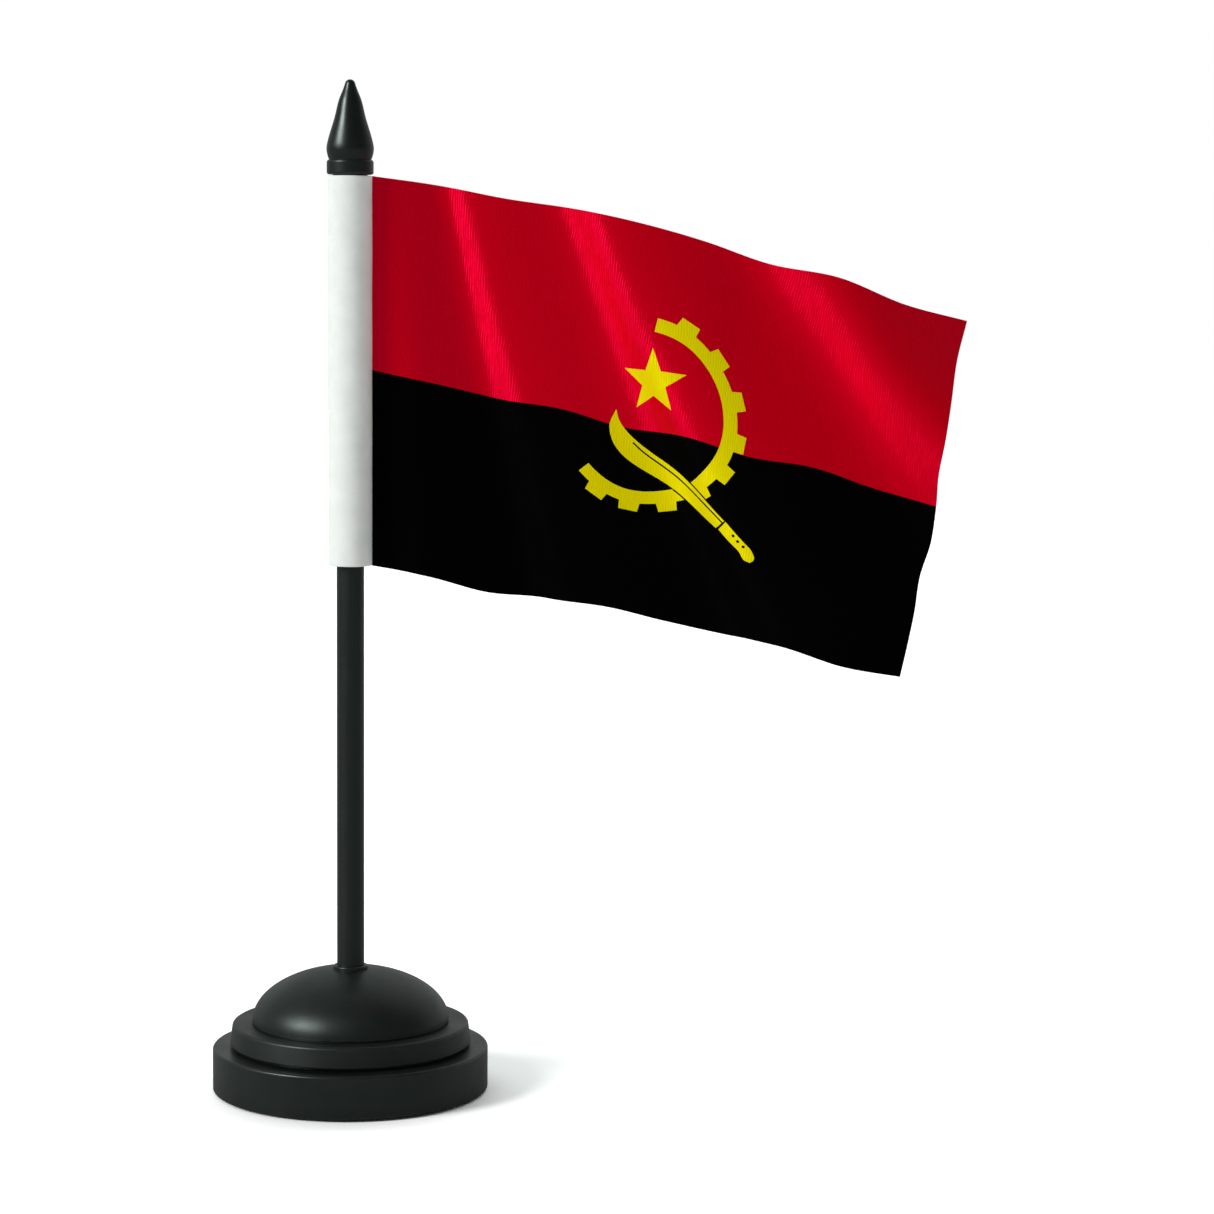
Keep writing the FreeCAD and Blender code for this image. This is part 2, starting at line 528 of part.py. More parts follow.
# ---------------------------------------------------------------- every node
save("foot_pad", foot_pad())
save("base_plate", base_plate())
save("ballast_plate", ballast_plate())
save("foot_shell", foot_shell())
save("dome_cover", dome_cover())
save("base_screws", Part.makeCompound([base_screw(x, y) for x, y in screw_places()]))
save("pole_ferrule", pole_ferrule())
save("pole_tube", pole_tube())
save("sleeve_stop_collar", sleeve_stop_collar())
save("liner_bush", liner_bush())
save("sleeve_liner", sleeve_liner())
save("flag_sleeve", flag_sleeve())
save("flag_cloth", flag_cloth())
save("finial", finial())
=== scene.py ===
# %% [markdown]
# # A desk flag on its stand
#
# The object is a small table flag: a printed satin flag on a white sleeve, a black plastic pole, a spear-head
# finial, and a heavy round black foot. The hard parts come from the CAD model with their sizes settled, so this
# file never moves them. It gives them their finishes, and builds the two soft parts, the flag and its sleeve,
# as real sheets of cloth around the CAD pieces.
#
# The file is read from top to bottom: camera, light, the plastics and metals, the cloth, the print, the sleeve.

# %% Load the frame
from math import cos, pi, radians, sin

import bpy
import numpy as np
from mathutils import Matrix, Vector
from mathutils.geometry import delaunay_2d_cdt


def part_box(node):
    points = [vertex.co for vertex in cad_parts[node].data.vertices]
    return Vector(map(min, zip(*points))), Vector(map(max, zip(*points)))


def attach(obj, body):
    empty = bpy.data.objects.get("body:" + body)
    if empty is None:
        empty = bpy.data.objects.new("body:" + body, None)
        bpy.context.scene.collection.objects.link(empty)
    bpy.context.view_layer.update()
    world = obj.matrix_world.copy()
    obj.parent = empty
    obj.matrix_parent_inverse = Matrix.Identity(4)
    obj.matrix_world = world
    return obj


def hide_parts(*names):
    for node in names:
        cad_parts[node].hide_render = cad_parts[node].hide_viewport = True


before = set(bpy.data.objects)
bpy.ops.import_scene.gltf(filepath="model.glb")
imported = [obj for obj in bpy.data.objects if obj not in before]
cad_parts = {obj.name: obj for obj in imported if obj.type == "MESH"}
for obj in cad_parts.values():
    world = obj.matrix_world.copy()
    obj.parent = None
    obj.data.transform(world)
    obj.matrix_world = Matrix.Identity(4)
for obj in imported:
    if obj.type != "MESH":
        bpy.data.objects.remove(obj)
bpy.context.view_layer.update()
MM = 0.001

# %% [markdown]
# ## The camera
#
# A table flag is shown at a low, level angle, so that the flag reads as a picture and the foot still shows its
# steps. A long lens from most of a metre away keeps the pole upright and the foot's ellipses shallow. The
# camera's axes are worked out from its pitch and roll, because three turned axes in one matrix are easier to
# check than three Euler angles.

# %% Camera
CAMERA_PLACE = Vector((66.5, -850.0, 216.0)) * MM
CAMERA_PITCH = radians(5.93)
CAMERA_ROLL = radians(0.43)
CAMERA_LENS = 97.77
CLIP_NEAR = 0.05
CLIP_FAR = 50


def camera_matrix():
    """The camera looks along +Y and a little down, and is rolled very slightly."""
    ahead = Vector((0, cos(CAMERA_PITCH), -sin(CAMERA_PITCH)))
    level = Vector((1, 0, 0))
    upright = level.cross(ahead)
    right = level * cos(CAMERA_ROLL) + upright * sin(CAMERA_ROLL)
    up = upright * cos(CAMERA_ROLL) - level * sin(CAMERA_ROLL)
    turned = Matrix((right, up, -ahead)).transposed().to_4x4()
    return Matrix.Translation(CAMERA_PLACE) @ turned


camera_data = bpy.data.cameras.new("camera")
camera_data.lens = CAMERA_LENS
camera_data.clip_start = CLIP_NEAR
camera_data.clip_end = CLIP_FAR
camera = bpy.data.objects.new("camera", camera_data)
camera.matrix_world = camera_matrix()
bpy.context.scene.collection.objects.link(camera)
bpy.context.scene.camera = camera
print("camera at", [round(value, 3) for value in camera.location])

# %% [markdown]
# ## Three small helpers
#
# Colours are picked as the sRGB hex values that a paint or ink card gives. Shaders add and multiply light, so
# they need linear values, and one function turns the hex text into them.
#
# A node tree written by hand is mostly "make a node, set it, link it". One function does all three: settings
# such as operation are keywords, and sockets are a small dictionary whose values are numbers or other sockets.
# Sums and products come up so often that they have a function of their own.

# %% Colour and node helpers


def linear(hex_colour):
    """An sRGB hex colour such as #c81010 as linear red, green and blue."""
    channels = [int(hex_colour[i : i + 2], 16) / 255 for i in (1, 3, 5)]
    return tuple(c / 12.92 if c <= 0.04045 else ((c + 0.055) / 1.055) ** 2.4 for c in channels)


def rgba(hex_colour):
    """The same colour with full alpha, as a shader's colour socket wants it."""
    return (*linear(hex_colour), 1)


def add(tree, kind, sockets=None, **settings):
    """Adds a shader node, sets it, and fills its sockets with values or with links from other sockets."""
    made = tree.nodes.new("ShaderNode" + kind)
    for name, value in settings.items():
        setattr(made, name, value)
    for name, value in (sockets or {}).items():
        if isinstance(value, bpy.types.NodeSocket):
            tree.links.new(value, made.inputs[name])
        else:
            made.inputs[name].default_value = value
    return made


def arithmetic(tree, operation, *values):
    """The result of a Math node whose values are numbers or other sockets."""
    return add(tree, "Math", dict(enumerate(values)), operation=operation).outputs[0]


print("white is", linear("#ffffff"), "and mid grey is", [round(c, 3) for c in linear("#808080")])

# %% [markdown]
# ## Floor, surroundings and key light
#
# The stand is lit as in a packshot: one large softbox high on the left, a white sweep below and behind, and a
# dimmer room in front. The far softbox is a sun lamp with a wide angle, which gives the same soft edge to every
# shadow. The room is the world colour. It is brighter behind, because the sweep is there, and that puts the
# thin light rims on the black plastic. Reflections see the room and the floor dimmed, and the camera sees the
# room as pure white.
#
# Neutral view settings keep the print as saturated as its ink.

# %% Stage and light
KEY_AROUND = radians(-58)
KEY_ABOVE = radians(30)
KEY_POWER = 2.1
KEY_SPREAD = radians(22)
ROOM_FRONT = 0.27
ROOM_BACK = 1.5
ROOM_TURN = (-0.1, 0.9)
ROOM_TINT = (0.955, 1.0, 0.98)
ROOM_GLOSS = 0.27
FLOOR_SIDE = 4.0
PAPER_WHITE = 0.88
FLOOR_SEEN = 1.45
FLOOR_GLOSS = 0.3


def make_world():
    """Even light that grows towards the back, and plain white where the camera looks straight at it."""
    world = bpy.data.worlds.new("studio")
    world.use_nodes = True
    tree = world.node_tree
    tree.nodes.clear()
    way = add(tree, "TexCoord").outputs["Generated"]
    back = add(tree, "SeparateXYZ", {"Vector": way}).outputs["Y"]
    level = add(tree, "MapRange", {
        "Value": back, "From Min": ROOM_TURN[0], "From Max": ROOM_TURN[1],
        "To Min": ROOM_FRONT, "To Max": ROOM_BACK,
    }, interpolation_type="SMOOTHSTEP").outputs["Result"]
    gloss = add(tree, "LightPath").outputs["Is Glossy Ray"]
    dim = add(tree, "MapRange", {"Value": gloss, "To Min": 1.0, "To Max": ROOM_GLOSS}).outputs["Result"]
    level = arithmetic(tree, "MULTIPLY", level, dim)
    room = add(tree, "Background", {"Color": (*ROOM_TINT, 1), "Strength": level})
    seen = add(tree, "Background", {"Color": (1, 1, 1, 1), "Strength": 1.0})
    straight = add(tree, "LightPath").outputs["Is Camera Ray"]
    both = add(tree, "MixShader", {0: straight, 1: room.outputs[0], 2: seen.outputs[0]})
    add(tree, "OutputWorld", {"Surface": both.outputs[0]})
    bpy.context.scene.world = world


def make_floor():
    """A white sweep. The camera sees it lighter than it is, and reflections see it darker."""
    side = FLOOR_SIDE
    mesh = bpy.data.meshes.new("floor")
    corners = [(-side, -side, 0), (side, -side, 0), (side, side, 0), (-side, side, 0)]
    mesh.from_pydata(corners, [], [(0, 1, 2, 3)])
    floor = bpy.data.objects.new("floor", mesh)
    bpy.context.scene.collection.objects.link(floor)
    sweep = bpy.data.materials.new("white_paper_sweep")
    sweep.use_nodes = True
    tree = sweep.node_tree
    tree.nodes.clear()
    path = add(tree, "LightPath").outputs
    paper = add(tree, "BsdfDiffuse", {"Color": (*[PAPER_WHITE] * 3, 1)})
    dimmed = add(tree, "BsdfDiffuse", {"Color": (*[PAPER_WHITE * FLOOR_GLOSS] * 3, 1)})
    seen = add(tree, "BsdfDiffuse", {"Color": (*[FLOOR_SEEN] * 3, 1)})
    mirrored = add(tree, "MixShader", {0: path["Is Glossy Ray"], 1: paper.outputs[0], 2: dimmed.outputs[0]})
    both = add(tree, "MixShader", {0: path["Is Camera Ray"], 1: mirrored.outputs[0], 2: seen.outputs[0]})
    add(tree, "OutputMaterial", {"Surface": both.outputs[0]})
    mesh.materials.append(sweep)


def make_key():
    """The softbox: far away, on the left of the camera and above it."""
    lamp = bpy.data.lights.new("softbox", "SUN")
    lamp.energy = KEY_POWER
    lamp.angle = KEY_SPREAD
    key = bpy.data.objects.new("softbox", lamp)
    flat = cos(KEY_ABOVE)
    towards = Vector((sin(KEY_AROUND) * flat, -cos(KEY_AROUND) * flat, sin(KEY_ABOVE)))
    key.matrix_world = towards.to_track_quat("Z", "Y").to_matrix().to_4x4()
    bpy.context.scene.collection.objects.link(key)


bpy.context.scene.view_settings.view_transform = "Standard"
make_world()
make_floor()
make_key()
print("key light", round(KEY_POWER, 2), "W/m2, room", ROOM_FRONT, "to", ROOM_BACK)

# %% [markdown]
# ## Starting a material
#
# Every finish begins the same way: an empty tree, a Principled shader and the surface's own millimetres. The
# Object coordinate is fixed to the piece, in metres, so a grain drawn on it stays put when the piece moves.
# Multiplied by a thousand it reads in millimetres, and a texture scale is then one over the real grain size.

# %% Material start


def start_material(name, **sockets):
    """A material with a Principled shader, and the piece's own coordinate in millimetres."""
    material = bpy.data.materials.new(name)
    material.use_nodes = True
    tree = material.node_tree
    tree.nodes.clear()
    names = {key.replace("_", " "): value for key, value in sockets.items()}
    shader = add(tree, "BsdfPrincipled", names)
    add(tree, "OutputMaterial", {"Surface": shader.outputs[0]})
    metres = add(tree, "TexCoord").outputs["Object"]
    place = add(tree, "VectorMath", {0: metres, 1: (1000, 1000, 1000)}, operation="MULTIPLY")
    return material, tree, shader, place.outputs[0]


def grain(tree, place, size, detail=2.0, roughness=0.5):
    """Even noise whose lumps are about size millimetres across, from 0 to 1."""
    noise = {"Vector": place, "Scale": 1 / size, "Detail": detail, "Roughness": roughness}
    return add(tree, "TexNoise", noise).outputs["Fac"]


def between(tree, value, low, high, start=0.35, end=0.65):
    """Stretches a noise, which lives mostly between start and end, over the range from low to high."""
    span = {"Value": value, "From Min": start, "From Max": end, "To Min": low, "To Max": high}
    return add(tree, "MapRange", span).outputs["Result"]


def drawn_noise(tree, place, changes, detail=2.0):
    """Noise drawn out into lines. Changes is how often it changes in a millimetre, along each axis."""
    drawn = add(tree, "VectorMath", {0: place, 1: changes}, operation="MULTIPLY").outputs[0]
    return add(tree, "TexNoise", {"Vector": drawn, "Scale": 1.0, "Detail": detail}).outputs["Fac"]


def bands(tree, place, period, **sockets):
    """Bands up Z, one every period millimetres. The Wave texture makes 20 bands in 2 pi of its input."""
    names = {key.replace("_", " "): value for key, value in sockets.items()}
    wave = {"Vector": place, "Scale": 2 * pi / 20 / period, "Detail": 1.0, **names}
    return add(tree, "TexWave", wave, bands_direction="Z").outputs["Fac"]


def tint(tree, shader, share, first, second):
    """Colours the shader between two hex colours, by a share from 0 to 1."""
    tone = {"Factor": share, "A": rgba(first), "B": rgba(second)}
    tree.links.new(add(tree, "Mix", tone, data_type="RGBA").outputs["Result"], shader.inputs["Base Color"])


def relief(tree, shader, height, depth):
    """Dents the shader's surface by a height of 0 to 1 that stands for depth millimetres."""
    dented = add(tree, "Bump", {"Height": height, "Distance": depth * MM, "Strength": 1.0})
    tree.links.new(dented.outputs["Normal"], shader.inputs["Normal"])


def dress(node, material):
    """Gives a CAD piece its finish."""
    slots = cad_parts[node].data.materials
    slots.clear()
    slots.append(material)


print("CAD pieces to dress:", len(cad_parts))

# %% [markdown]
# ## Black moulded polystyrene
#
# The foot, its domed cover, the ferrule, the finial, the collar and the bottom plate are taken as
# injection-moulded black polystyrene, the usual plastic of cheap desk stationery. Its index of refraction is
# 1.59. The mould is spark-eroded and then lightly polished, so the skin is satin, not glossy: highlights are
# soft, and a very fine grain breaks them up. The real grain is about 0.08 mm and would vanish at this size, so
# it is drawn at 0.3 mm, and very shallow. Two broader things make it a moulded part and not a black shape. The
# skin is a little glossier where the melt met the mould last, over some 15 mm, and faint rub marks from handling
# cross it.
#
# The edges rub against the desk, the box and fingers, and turn a little glossier. They are also painted lighter:
# a painted highlight that stands for the thin light line a rounded edge catches. The Bevel node rounds the
# normals near an edge, so where its normal and the true one differ there is an edge, and that difference is the
# mask for both the wear and the painted highlight.

# %% Moulded polystyrene
POLYSTYRENE = {"IOR": 1.59, "Specular_IOR_Level": 0.5, "Specular_Tint": (0.86, 1.0, 0.95, 1)}
# Painted highlight: the lighter colour given to the edges, which also stands for rubbed wear.
RUBBED_EDGE_AND_PAINTED_HIGHLIGHT = "#39403d"


def edge_wear_and_highlight(tree, width):
    """0 on open faces and 1 along an edge, width millimetres wide: the mask for edge wear and a painted
    highlight.
    """
    rounded = add(tree, "Bevel", {"Radius": width * MM}, samples=4).outputs["Normal"]
    true_way = add(tree, "NewGeometry").outputs["Normal"]
    agree = add(tree, "VectorMath", {0: rounded, 1: true_way}, operation="DOT_PRODUCT").outputs["Value"]
    return add(tree, "MapRange", {
        "Value": agree, "From Min": 0.999, "From Max": 0.93, "To Min": 0.0, "To Max": 1.0,
    }).outputs["Result"]


def moulded_polystyrene(name, colour, satin=0.36, grain_size=0.3, depth=0.006, worn_and_highlit=True):
    """Satin black plastic with mould grain, flow marks, rub marks, and lightly polished edges with a painted
    highlight.
    """
    material, tree, shader, place = start_material(name, **POLYSTYRENE)
    flow = between(tree, grain(tree, place, 15, detail=1), -0.04, 0.05)
    stretched = add(tree, "VectorMath", {0: place, 1: (0.16, 0.16, 1.4)}, operation="MULTIPLY").outputs[0]
    rubs = between(tree, grain(tree, stretched, 1.1, detail=4, roughness=0.7), 0.0, 0.07, 0.56, 0.72)
    rough = arithmetic(tree, "ADD", flow, rubs)
    rough = arithmetic(tree, "ADD", rough, satin)
    tone = add(tree, "Mix", {
        "Factor": between(tree, grain(tree, place, 6, detail=3), 0, 1), "A": rgba(colour),
        "B": (*[c * 1.35 + 0.0006 for c in linear(colour)], 1),
    }, data_type="RGBA").outputs["Result"]
    if worn_and_highlit:
        worn_edge_and_highlight_mask = edge_wear_and_highlight(tree, 0.5)
        uneven = between(tree, grain(tree, place, 2), 0.3, 1)
        patchy_wear_and_highlight = arithmetic(tree, "MULTIPLY", worn_edge_and_highlight_mask, uneven)
        rough = arithmetic(tree, "MULTIPLY_ADD", patchy_wear_and_highlight, -0.07, rough)
        # Painted highlight: the edges are coloured lighter, as well as worn glossier.
        rubbed_and_highlit_tone = {"Factor": patchy_wear_and_highlight, "A": tone, "B": rgba(RUBBED_EDGE_AND_PAINTED_HIGHLIGHT)}
        tone = add(tree, "Mix", rubbed_and_highlit_tone, data_type="RGBA").outputs["Result"]
    tree.links.new(rough, shader.inputs["Roughness"])
    tree.links.new(tone, shader.inputs["Base Color"])
    relief(tree, shader, grain(tree, place, grain_size, detail=3, roughness=0.6), depth)
    return material


dress("foot_shell", moulded_polystyrene("black_moulded_polystyrene_foot", "#0e1312"))
dress("dome_cover", moulded_polystyrene("black_moulded_polystyrene_cover", "#0f1413", satin=0.42))
dress("pole_ferrule", moulded_polystyrene("black_moulded_polystyrene_ferrule", "#0f1312", satin=0.33))
dress("finial", moulded_polystyrene("black_moulded_polystyrene_finial", "#0c1110", satin=0.35, depth=0.004))
dress("base_plate", moulded_polystyrene("black_moulded_polystyrene_plate", "#121615", satin=0.48, depth=0.012))
dress("sleeve_stop_collar", moulded_polystyrene("black_moulded_polystyrene_collar", "#0f1413", worn_and_highlit=False))
print("moulded pieces dressed")

# %% [markdown]
# ## Black extruded pole
#
# The pole is not moulded but extruded, pushed through a ring-shaped die as an endless tube and cut to length.
# The die leaves faint lines along the tube, all of them parallel to it. Noise squeezed round the tube and
# drawn out along it gives the same lines. Real die lines are 0.05 to 0.2 mm wide, and 0.25 mm shows here.

# %% Extruded pole


def extruded_polystyrene(name, colour):
    """Satin black plastic with fine lines along Z, and the dull skin of a cooled extrusion."""
    material, tree, shader, place = start_material(name, **POLYSTYRENE)
    lines = drawn_noise(tree, place, (4.0, 4.0, 0.02))
    patches = grain(tree, place, 9, detail=2)
    rough = arithmetic(tree, "ADD", between(tree, lines, -0.03, 0.05), 0.36)
    rough = arithmetic(tree, "ADD", between(tree, patches, -0.03, 0.04), rough)
    tree.links.new(rough, shader.inputs["Roughness"])
    tint(tree, shader, between(tree, lines, 0, 1), colour, "#161b1a")
    relief(tree, shader, lines, 0.01)
    return material


dress("pole_tube", extruded_polystyrene("black_extruded_polystyrene", "#0e1312"))
print("pole dressed")

# %% [markdown]
# ## The hidden and underside pieces
#
# Turned over, the stand shows a foam pad with three openings, a screw in each, and the edge of a black plate.
# Inside there is a steel ring, and inside the sleeve a white tube on a turned bush.
#
# - The screws are mild steel, electroplated with **zinc** and passivated. A thin bright coat over a rolled
#   thread looks pale blue-grey, softly blotched, and fairly shiny. A metal needs no specular setting: its base
#   colour is its reflection.
# - The ballast is a **blanked steel ring**, punched from cold-rolled sheet: darker, with rolling lines one way
#   and specks of rust bloom where the oil has dried.
# - The pad is **EVA foam**, cut from sheet. A closed-cell foam's cut face is matt, with cells of about 0.3 mm
#   that show as pits, so it takes a cell pattern (Voronoi) as relief.
# - The bush is turned **acetal**: creamy white, waxy, with fine turning rings 0.2 mm apart.
# - The liner is an **extruded polystyrene tube** in white, which keeps the sleeve round.

# %% Zinc, steel, foam, acetal and white tube


def zinc_plated_steel(name):
    """Bright zinc: pale, softly blotched and fairly shiny."""
    material, tree, shader, place = start_material(name, Metallic=1.0)
    blotch = grain(tree, place, 0.8, detail=3)
    tint(tree, shader, between(tree, blotch, 0, 1), "#a9adb0", "#c4c6c4")
    tree.links.new(between(tree, blotch, 0.24, 0.36), shader.inputs["Roughness"])
    relief(tree, shader, grain(tree, place, 0.15), 0.004)
    return material


def blanked_steel(name):
    """Cold-rolled sheet steel: rolling lines along X, and a little brown bloom."""
    material, tree, shader, place = start_material(name, Metallic=1.0)
    lines = drawn_noise(tree, place, (0.05, 4.0, 4.0), detail=3.0)
    bloom = between(tree, grain(tree, place, 3, detail=5), 0, 0.7, 0.58, 0.7)
    tint(tree, shader, bloom, "#84868a", "#5a4636")
    tree.links.new(between(tree, lines, 0.34, 0.5), shader.inputs["Roughness"])
    relief(tree, shader, lines, 0.006)
    return material


def eva_foam(name):
    """Matt black closed-cell foam with cells of 0.3 mm."""
    material, tree, shader, place = start_material(name, IOR=1.48, Roughness=0.9, Specular_IOR_Level=0.3)
    cells = add(tree, "TexVoronoi", {"Vector": place, "Scale": 1 / 0.3}).outputs["Distance"]
    tint(tree, shader, between(tree, cells, 0, 1, 0.1, 0.7), "#0c0d0d", "#222423")
    relief(tree, shader, cells, 0.08)
    return material


def turned_acetal(name):
    """Waxy off-white plastic with turning rings 0.2 mm apart."""
    material, tree, shader, place = start_material(
        name, IOR=1.48, Roughness=0.38, Subsurface_Weight=0.15, Subsurface_Scale=MM,
        Subsurface_Radius=(1.0, 0.8, 0.6),
    )
    rings = bands(tree, place, 0.2, Distortion=0.4)
    tint(tree, shader, between(tree, grain(tree, place, 2), 0, 1), "#e4dfd2", "#ece8de")
    relief(tree, shader, rings, 0.008)
    return material


def white_extruded_tube(name):
    """White polystyrene tube: even, slightly glossy, with die lines along it."""
    material, tree, shader, place = start_material(name, IOR=1.59, Specular_IOR_Level=0.4)
    lines = drawn_noise(tree, place, (3.0, 3.0, 0.02))
    tint(tree, shader, between(tree, lines, 0, 1), "#dfe1df", "#e9ebe9")
    tree.links.new(between(tree, lines, 0.32, 0.42), shader.inputs["Roughness"])
    relief(tree, shader, lines, 0.01)
    return material


dress("base_screws", zinc_plated_steel("zinc_plated_steel"))
dress("ballast_plate", blanked_steel("blanked_cold_rolled_steel"))
dress("foot_pad", eva_foam("die_cut_eva_foam"))
dress("liner_bush", turned_acetal("turned_acetal"))
dress("sleeve_liner", white_extruded_tube("white_extruded_polystyrene"))
print("hidden and underside pieces dressed")

# %% [markdown]
# ## The flag's cloth: how it hangs
#
# The flag is a single sheet of printed polyester satin, 100 mm down the hoist and 160 mm along the fly. It
# stands out from the sleeve and sags by its own weight, in waves that start at the sleeve and open towards the
# fly.
#
# A cloth simulation would give folds, but not these, and the CAD model already holds the drape that its
# collision solid has. So the cloth is made from the same formula. Each thread runs from the hoist to the fly
# edge: where a wave turns it sideways, or the sag turns it down, it makes less way. The way is then scaled to
# the reach that the flag has at that height. That stretches the top edge by 4 percent and takes in the bottom
# edge by 7. Real satin would hardly do that: it is a liberty, taken so that the outline comes out right.
#
# - *fall* is how far a thread has sagged at a share of its reach, from three threads.
# - *wave* is how far the cloth stands out towards the back. Every wave has a steep front and a long flat back,
#   and each one is longer and steeper than the one before. A slow bend runs under them all.
# - *threads* walks along every thread with numpy, all of them together, and adds up the way made.

# %% The drape
FLAG_HOIST = 100.0
FLAG_FLY = 160.0
FLAG_TUCK = 0.35
FALL_TOP = np.array((0.0, 1.4, 3.4, 4.9, 7.1, 10.0, 13.6, 15.6, 19.8, 22.5))
FALL_MIDDLE = np.array((0.0, 2.2, 4.6, 6.1, 9.1, 10.3, 13.4, 15.1, 18.6, 21.4))
FALL_BOTTOM = np.array((0.0, 1.8, 4.7, 5.6, 6.7, 9.1, 11.2, 12.4, 15.4, 17.2))
REACH = np.array((96.3, 94.4, 93.3, 92.3, 91.4, 91.4, 90.8, 89.0, 88.1, 86.9, 85.6))
WAVE_STEEP = (0.44, 0.58)
WAVE_RISE = 0.15
WAVE_SHAPE = (0.623, 0.135, 0.028, 0.005)
WAVE_LENGTH = (15.4, 34.2)
WAVE_GROWTH = (5.6, 9.3)
WAVE_HURRY = (2.1, 5.1)
WAVE_START = 16.0
WAVE_LEAN = 9.0
SLOW_BEND = np.array((0.0, 2.0, 3.4, 2.2, 0.4, -1.8, -0.8, 5.0, 14.0))
BEND_GAIN = (1.0, 2.2)
NEWTON_STEPS = 8
NUDGE = 0.001
LEAST_WAY = 0.05

sleeve_low, sleeve_high = (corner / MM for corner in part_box("flag_sleeve"))
SLEEVE_RADIUS = sleeve_high.x
SLEEVE_TOP = sleeve_high.z


def smooth(values, share):
    """A smooth curve through evenly spaced values, read at a share from 0 to 1."""
    padded = np.concatenate(([2 * values[0] - values[1]], values, [2 * values[-1] - values[-2]]))
    place = np.clip(share, 0, 1) * (len(values) - 1)
    left = np.minimum(place.astype(int), len(values) - 2)
    f = place - left
    p0, p1, p2, p3 = (padded[left + i] for i in range(4))
    return p1 + 0.5 * f * (p2 - p0 + f * (2 * p0 - 5 * p1 + 4 * p2 - p3 + f * (3 * (p1 - p2) + p3 - p0)))


def mixed(pair, drop):
    """A value between the flag's top edge and its bottom edge."""
    return pair[0] + (pair[1] - pair[0]) * drop


def fall(share, drop):
    """Millimetres that a thread has sagged, drop being 0 on the top edge and 1 on the bottom edge."""
    top = smooth(FALL_TOP, share) * (1 - drop) * (1 - 2 * drop)
    middle = smooth(FALL_MIDDLE, share) * 4 * drop * (1 - drop)
    bottom = smooth(FALL_BOTTOM, share) * drop * (2 * drop - 1)
    return (top + middle + bottom) * FLAG_FLY / 100


def wave(along, drop):
    """Millimetres that the cloth stands out towards the back. Newton's steps find the count of waves passed."""
    length, growth, hurry = (mixed(pair, drop) for pair in (WAVE_LENGTH, WAVE_GROWTH, WAVE_HURRY))
    count = 1.0
    for _ in range(NEWTON_STEPS):
        passed = count * (length + growth * count + hurry * (count - 1) * (count - 2)) + WAVE_LEAN * drop
        rate = length + 2 * growth * count + hurry * (3 * count**2 - 6 * count + 2)
        count = count + (along - passed) / rate
    ramp = np.minimum(along / WAVE_START, 1)
    depth = mixed(WAVE_STEEP, drop) * rate / (2 * pi)
    swell = sum(share * np.sin(2 * pi * (i + 1) * count) for i, share in enumerate(WAVE_SHAPE))
    bend = smooth(SLOW_BEND, count / 4) * mixed(BEND_GAIN, drop)
    return bend - depth * ramp * ramp * (3 - 2 * ramp) * swell * (1 + WAVE_RISE * (count - 1))


def threads(columns=321, rows=101):
    """The cloth's middle surface as a grid of points: rows down the hoist, columns along the fly."""
    along = np.linspace(0, FLAG_FLY, columns)
    drop = np.linspace(0, 1, rows)
    step = along[1]
    reach = smooth(REACH, drop) * FLAG_FLY / 100
    run = np.zeros((rows, columns))
    for i in range(columns - 1):
        deep = (wave(along[i + 1], drop) - wave(along[i], drop)) / step
        share = np.minimum(run[:, i] / reach, 1 - NUDGE)
        steep = (fall(share + NUDGE, drop) - fall(share, drop)) / (NUDGE * reach)
        run[:, i + 1] = run[:, i] + step * np.sqrt(np.maximum(1 - deep**2, LEAST_WAY)) / np.sqrt(1 + steep**2)
    share = run / run[:, -1:]
    down = drop[:, None]
    x = SLEEVE_RADIUS - FLAG_TUCK + share * reach[:, None]
    y = wave(along[None, :], down)
    z = SLEEVE_TOP - FLAG_HOIST * down - fall(share, down)
    return np.stack((x, y, z), axis=2)


CLOTH = threads()
print("cloth spans, mm:", np.ptp(CLOTH.reshape(-1, 3), axis=0).round(1))

# %% [markdown]
# ## Reading the cloth
#
# Everything that lies on the cloth, such as the print, the weld or the edge, is laid out flat, in millimetres
# along the fly and down the hoist, and then carried to its place in space. The grid is fine, so reading between
# four of its points is exact enough. The surface's direction comes from the same grid, by crossing the two
# differences, and it is used for the cloth's thickness and for smooth shading.

# %% From flat to hung


def surface_ways(grid):
    """The unit normal at every grid point, pointing to the back (+Y)."""
    along = np.gradient(grid, axis=1)
    down = np.gradient(grid, axis=0)
    ways = np.cross(along, down)
    return ways / np.linalg.norm(ways, axis=2, keepdims=True)


CLOTH_WAYS = surface_ways(CLOTH)


def hang(flat, grid=CLOTH):
    """Reads a grid at flat points, given as rows of millimetres along the fly and down the hoist."""
    rows, columns = grid.shape[:2]
    along = np.clip(flat[:, 0] / FLAG_FLY, 0, 1) * (columns - 1)
    down = np.clip(flat[:, 1] / FLAG_HOIST, 0, 1) * (rows - 1)
    i = np.minimum(along.astype(int), columns - 2)
    j = np.minimum(down.astype(int), rows - 2)
    f = (along - i)[:, None]
    g = (down - j)[:, None]
    upper = grid[j, i] * (1 - f) + grid[j, i + 1] * f
    lower = grid[j + 1, i] * (1 - f) + grid[j + 1, i + 1] * f
    return upper * (1 - g) + lower * g


middle = np.array([[FLAG_FLY / 2, FLAG_HOIST / 2]])
print("the flag's middle hangs at", hang(middle)[0].round(1), "facing", hang(middle, CLOTH_WAYS)[0].round(2))

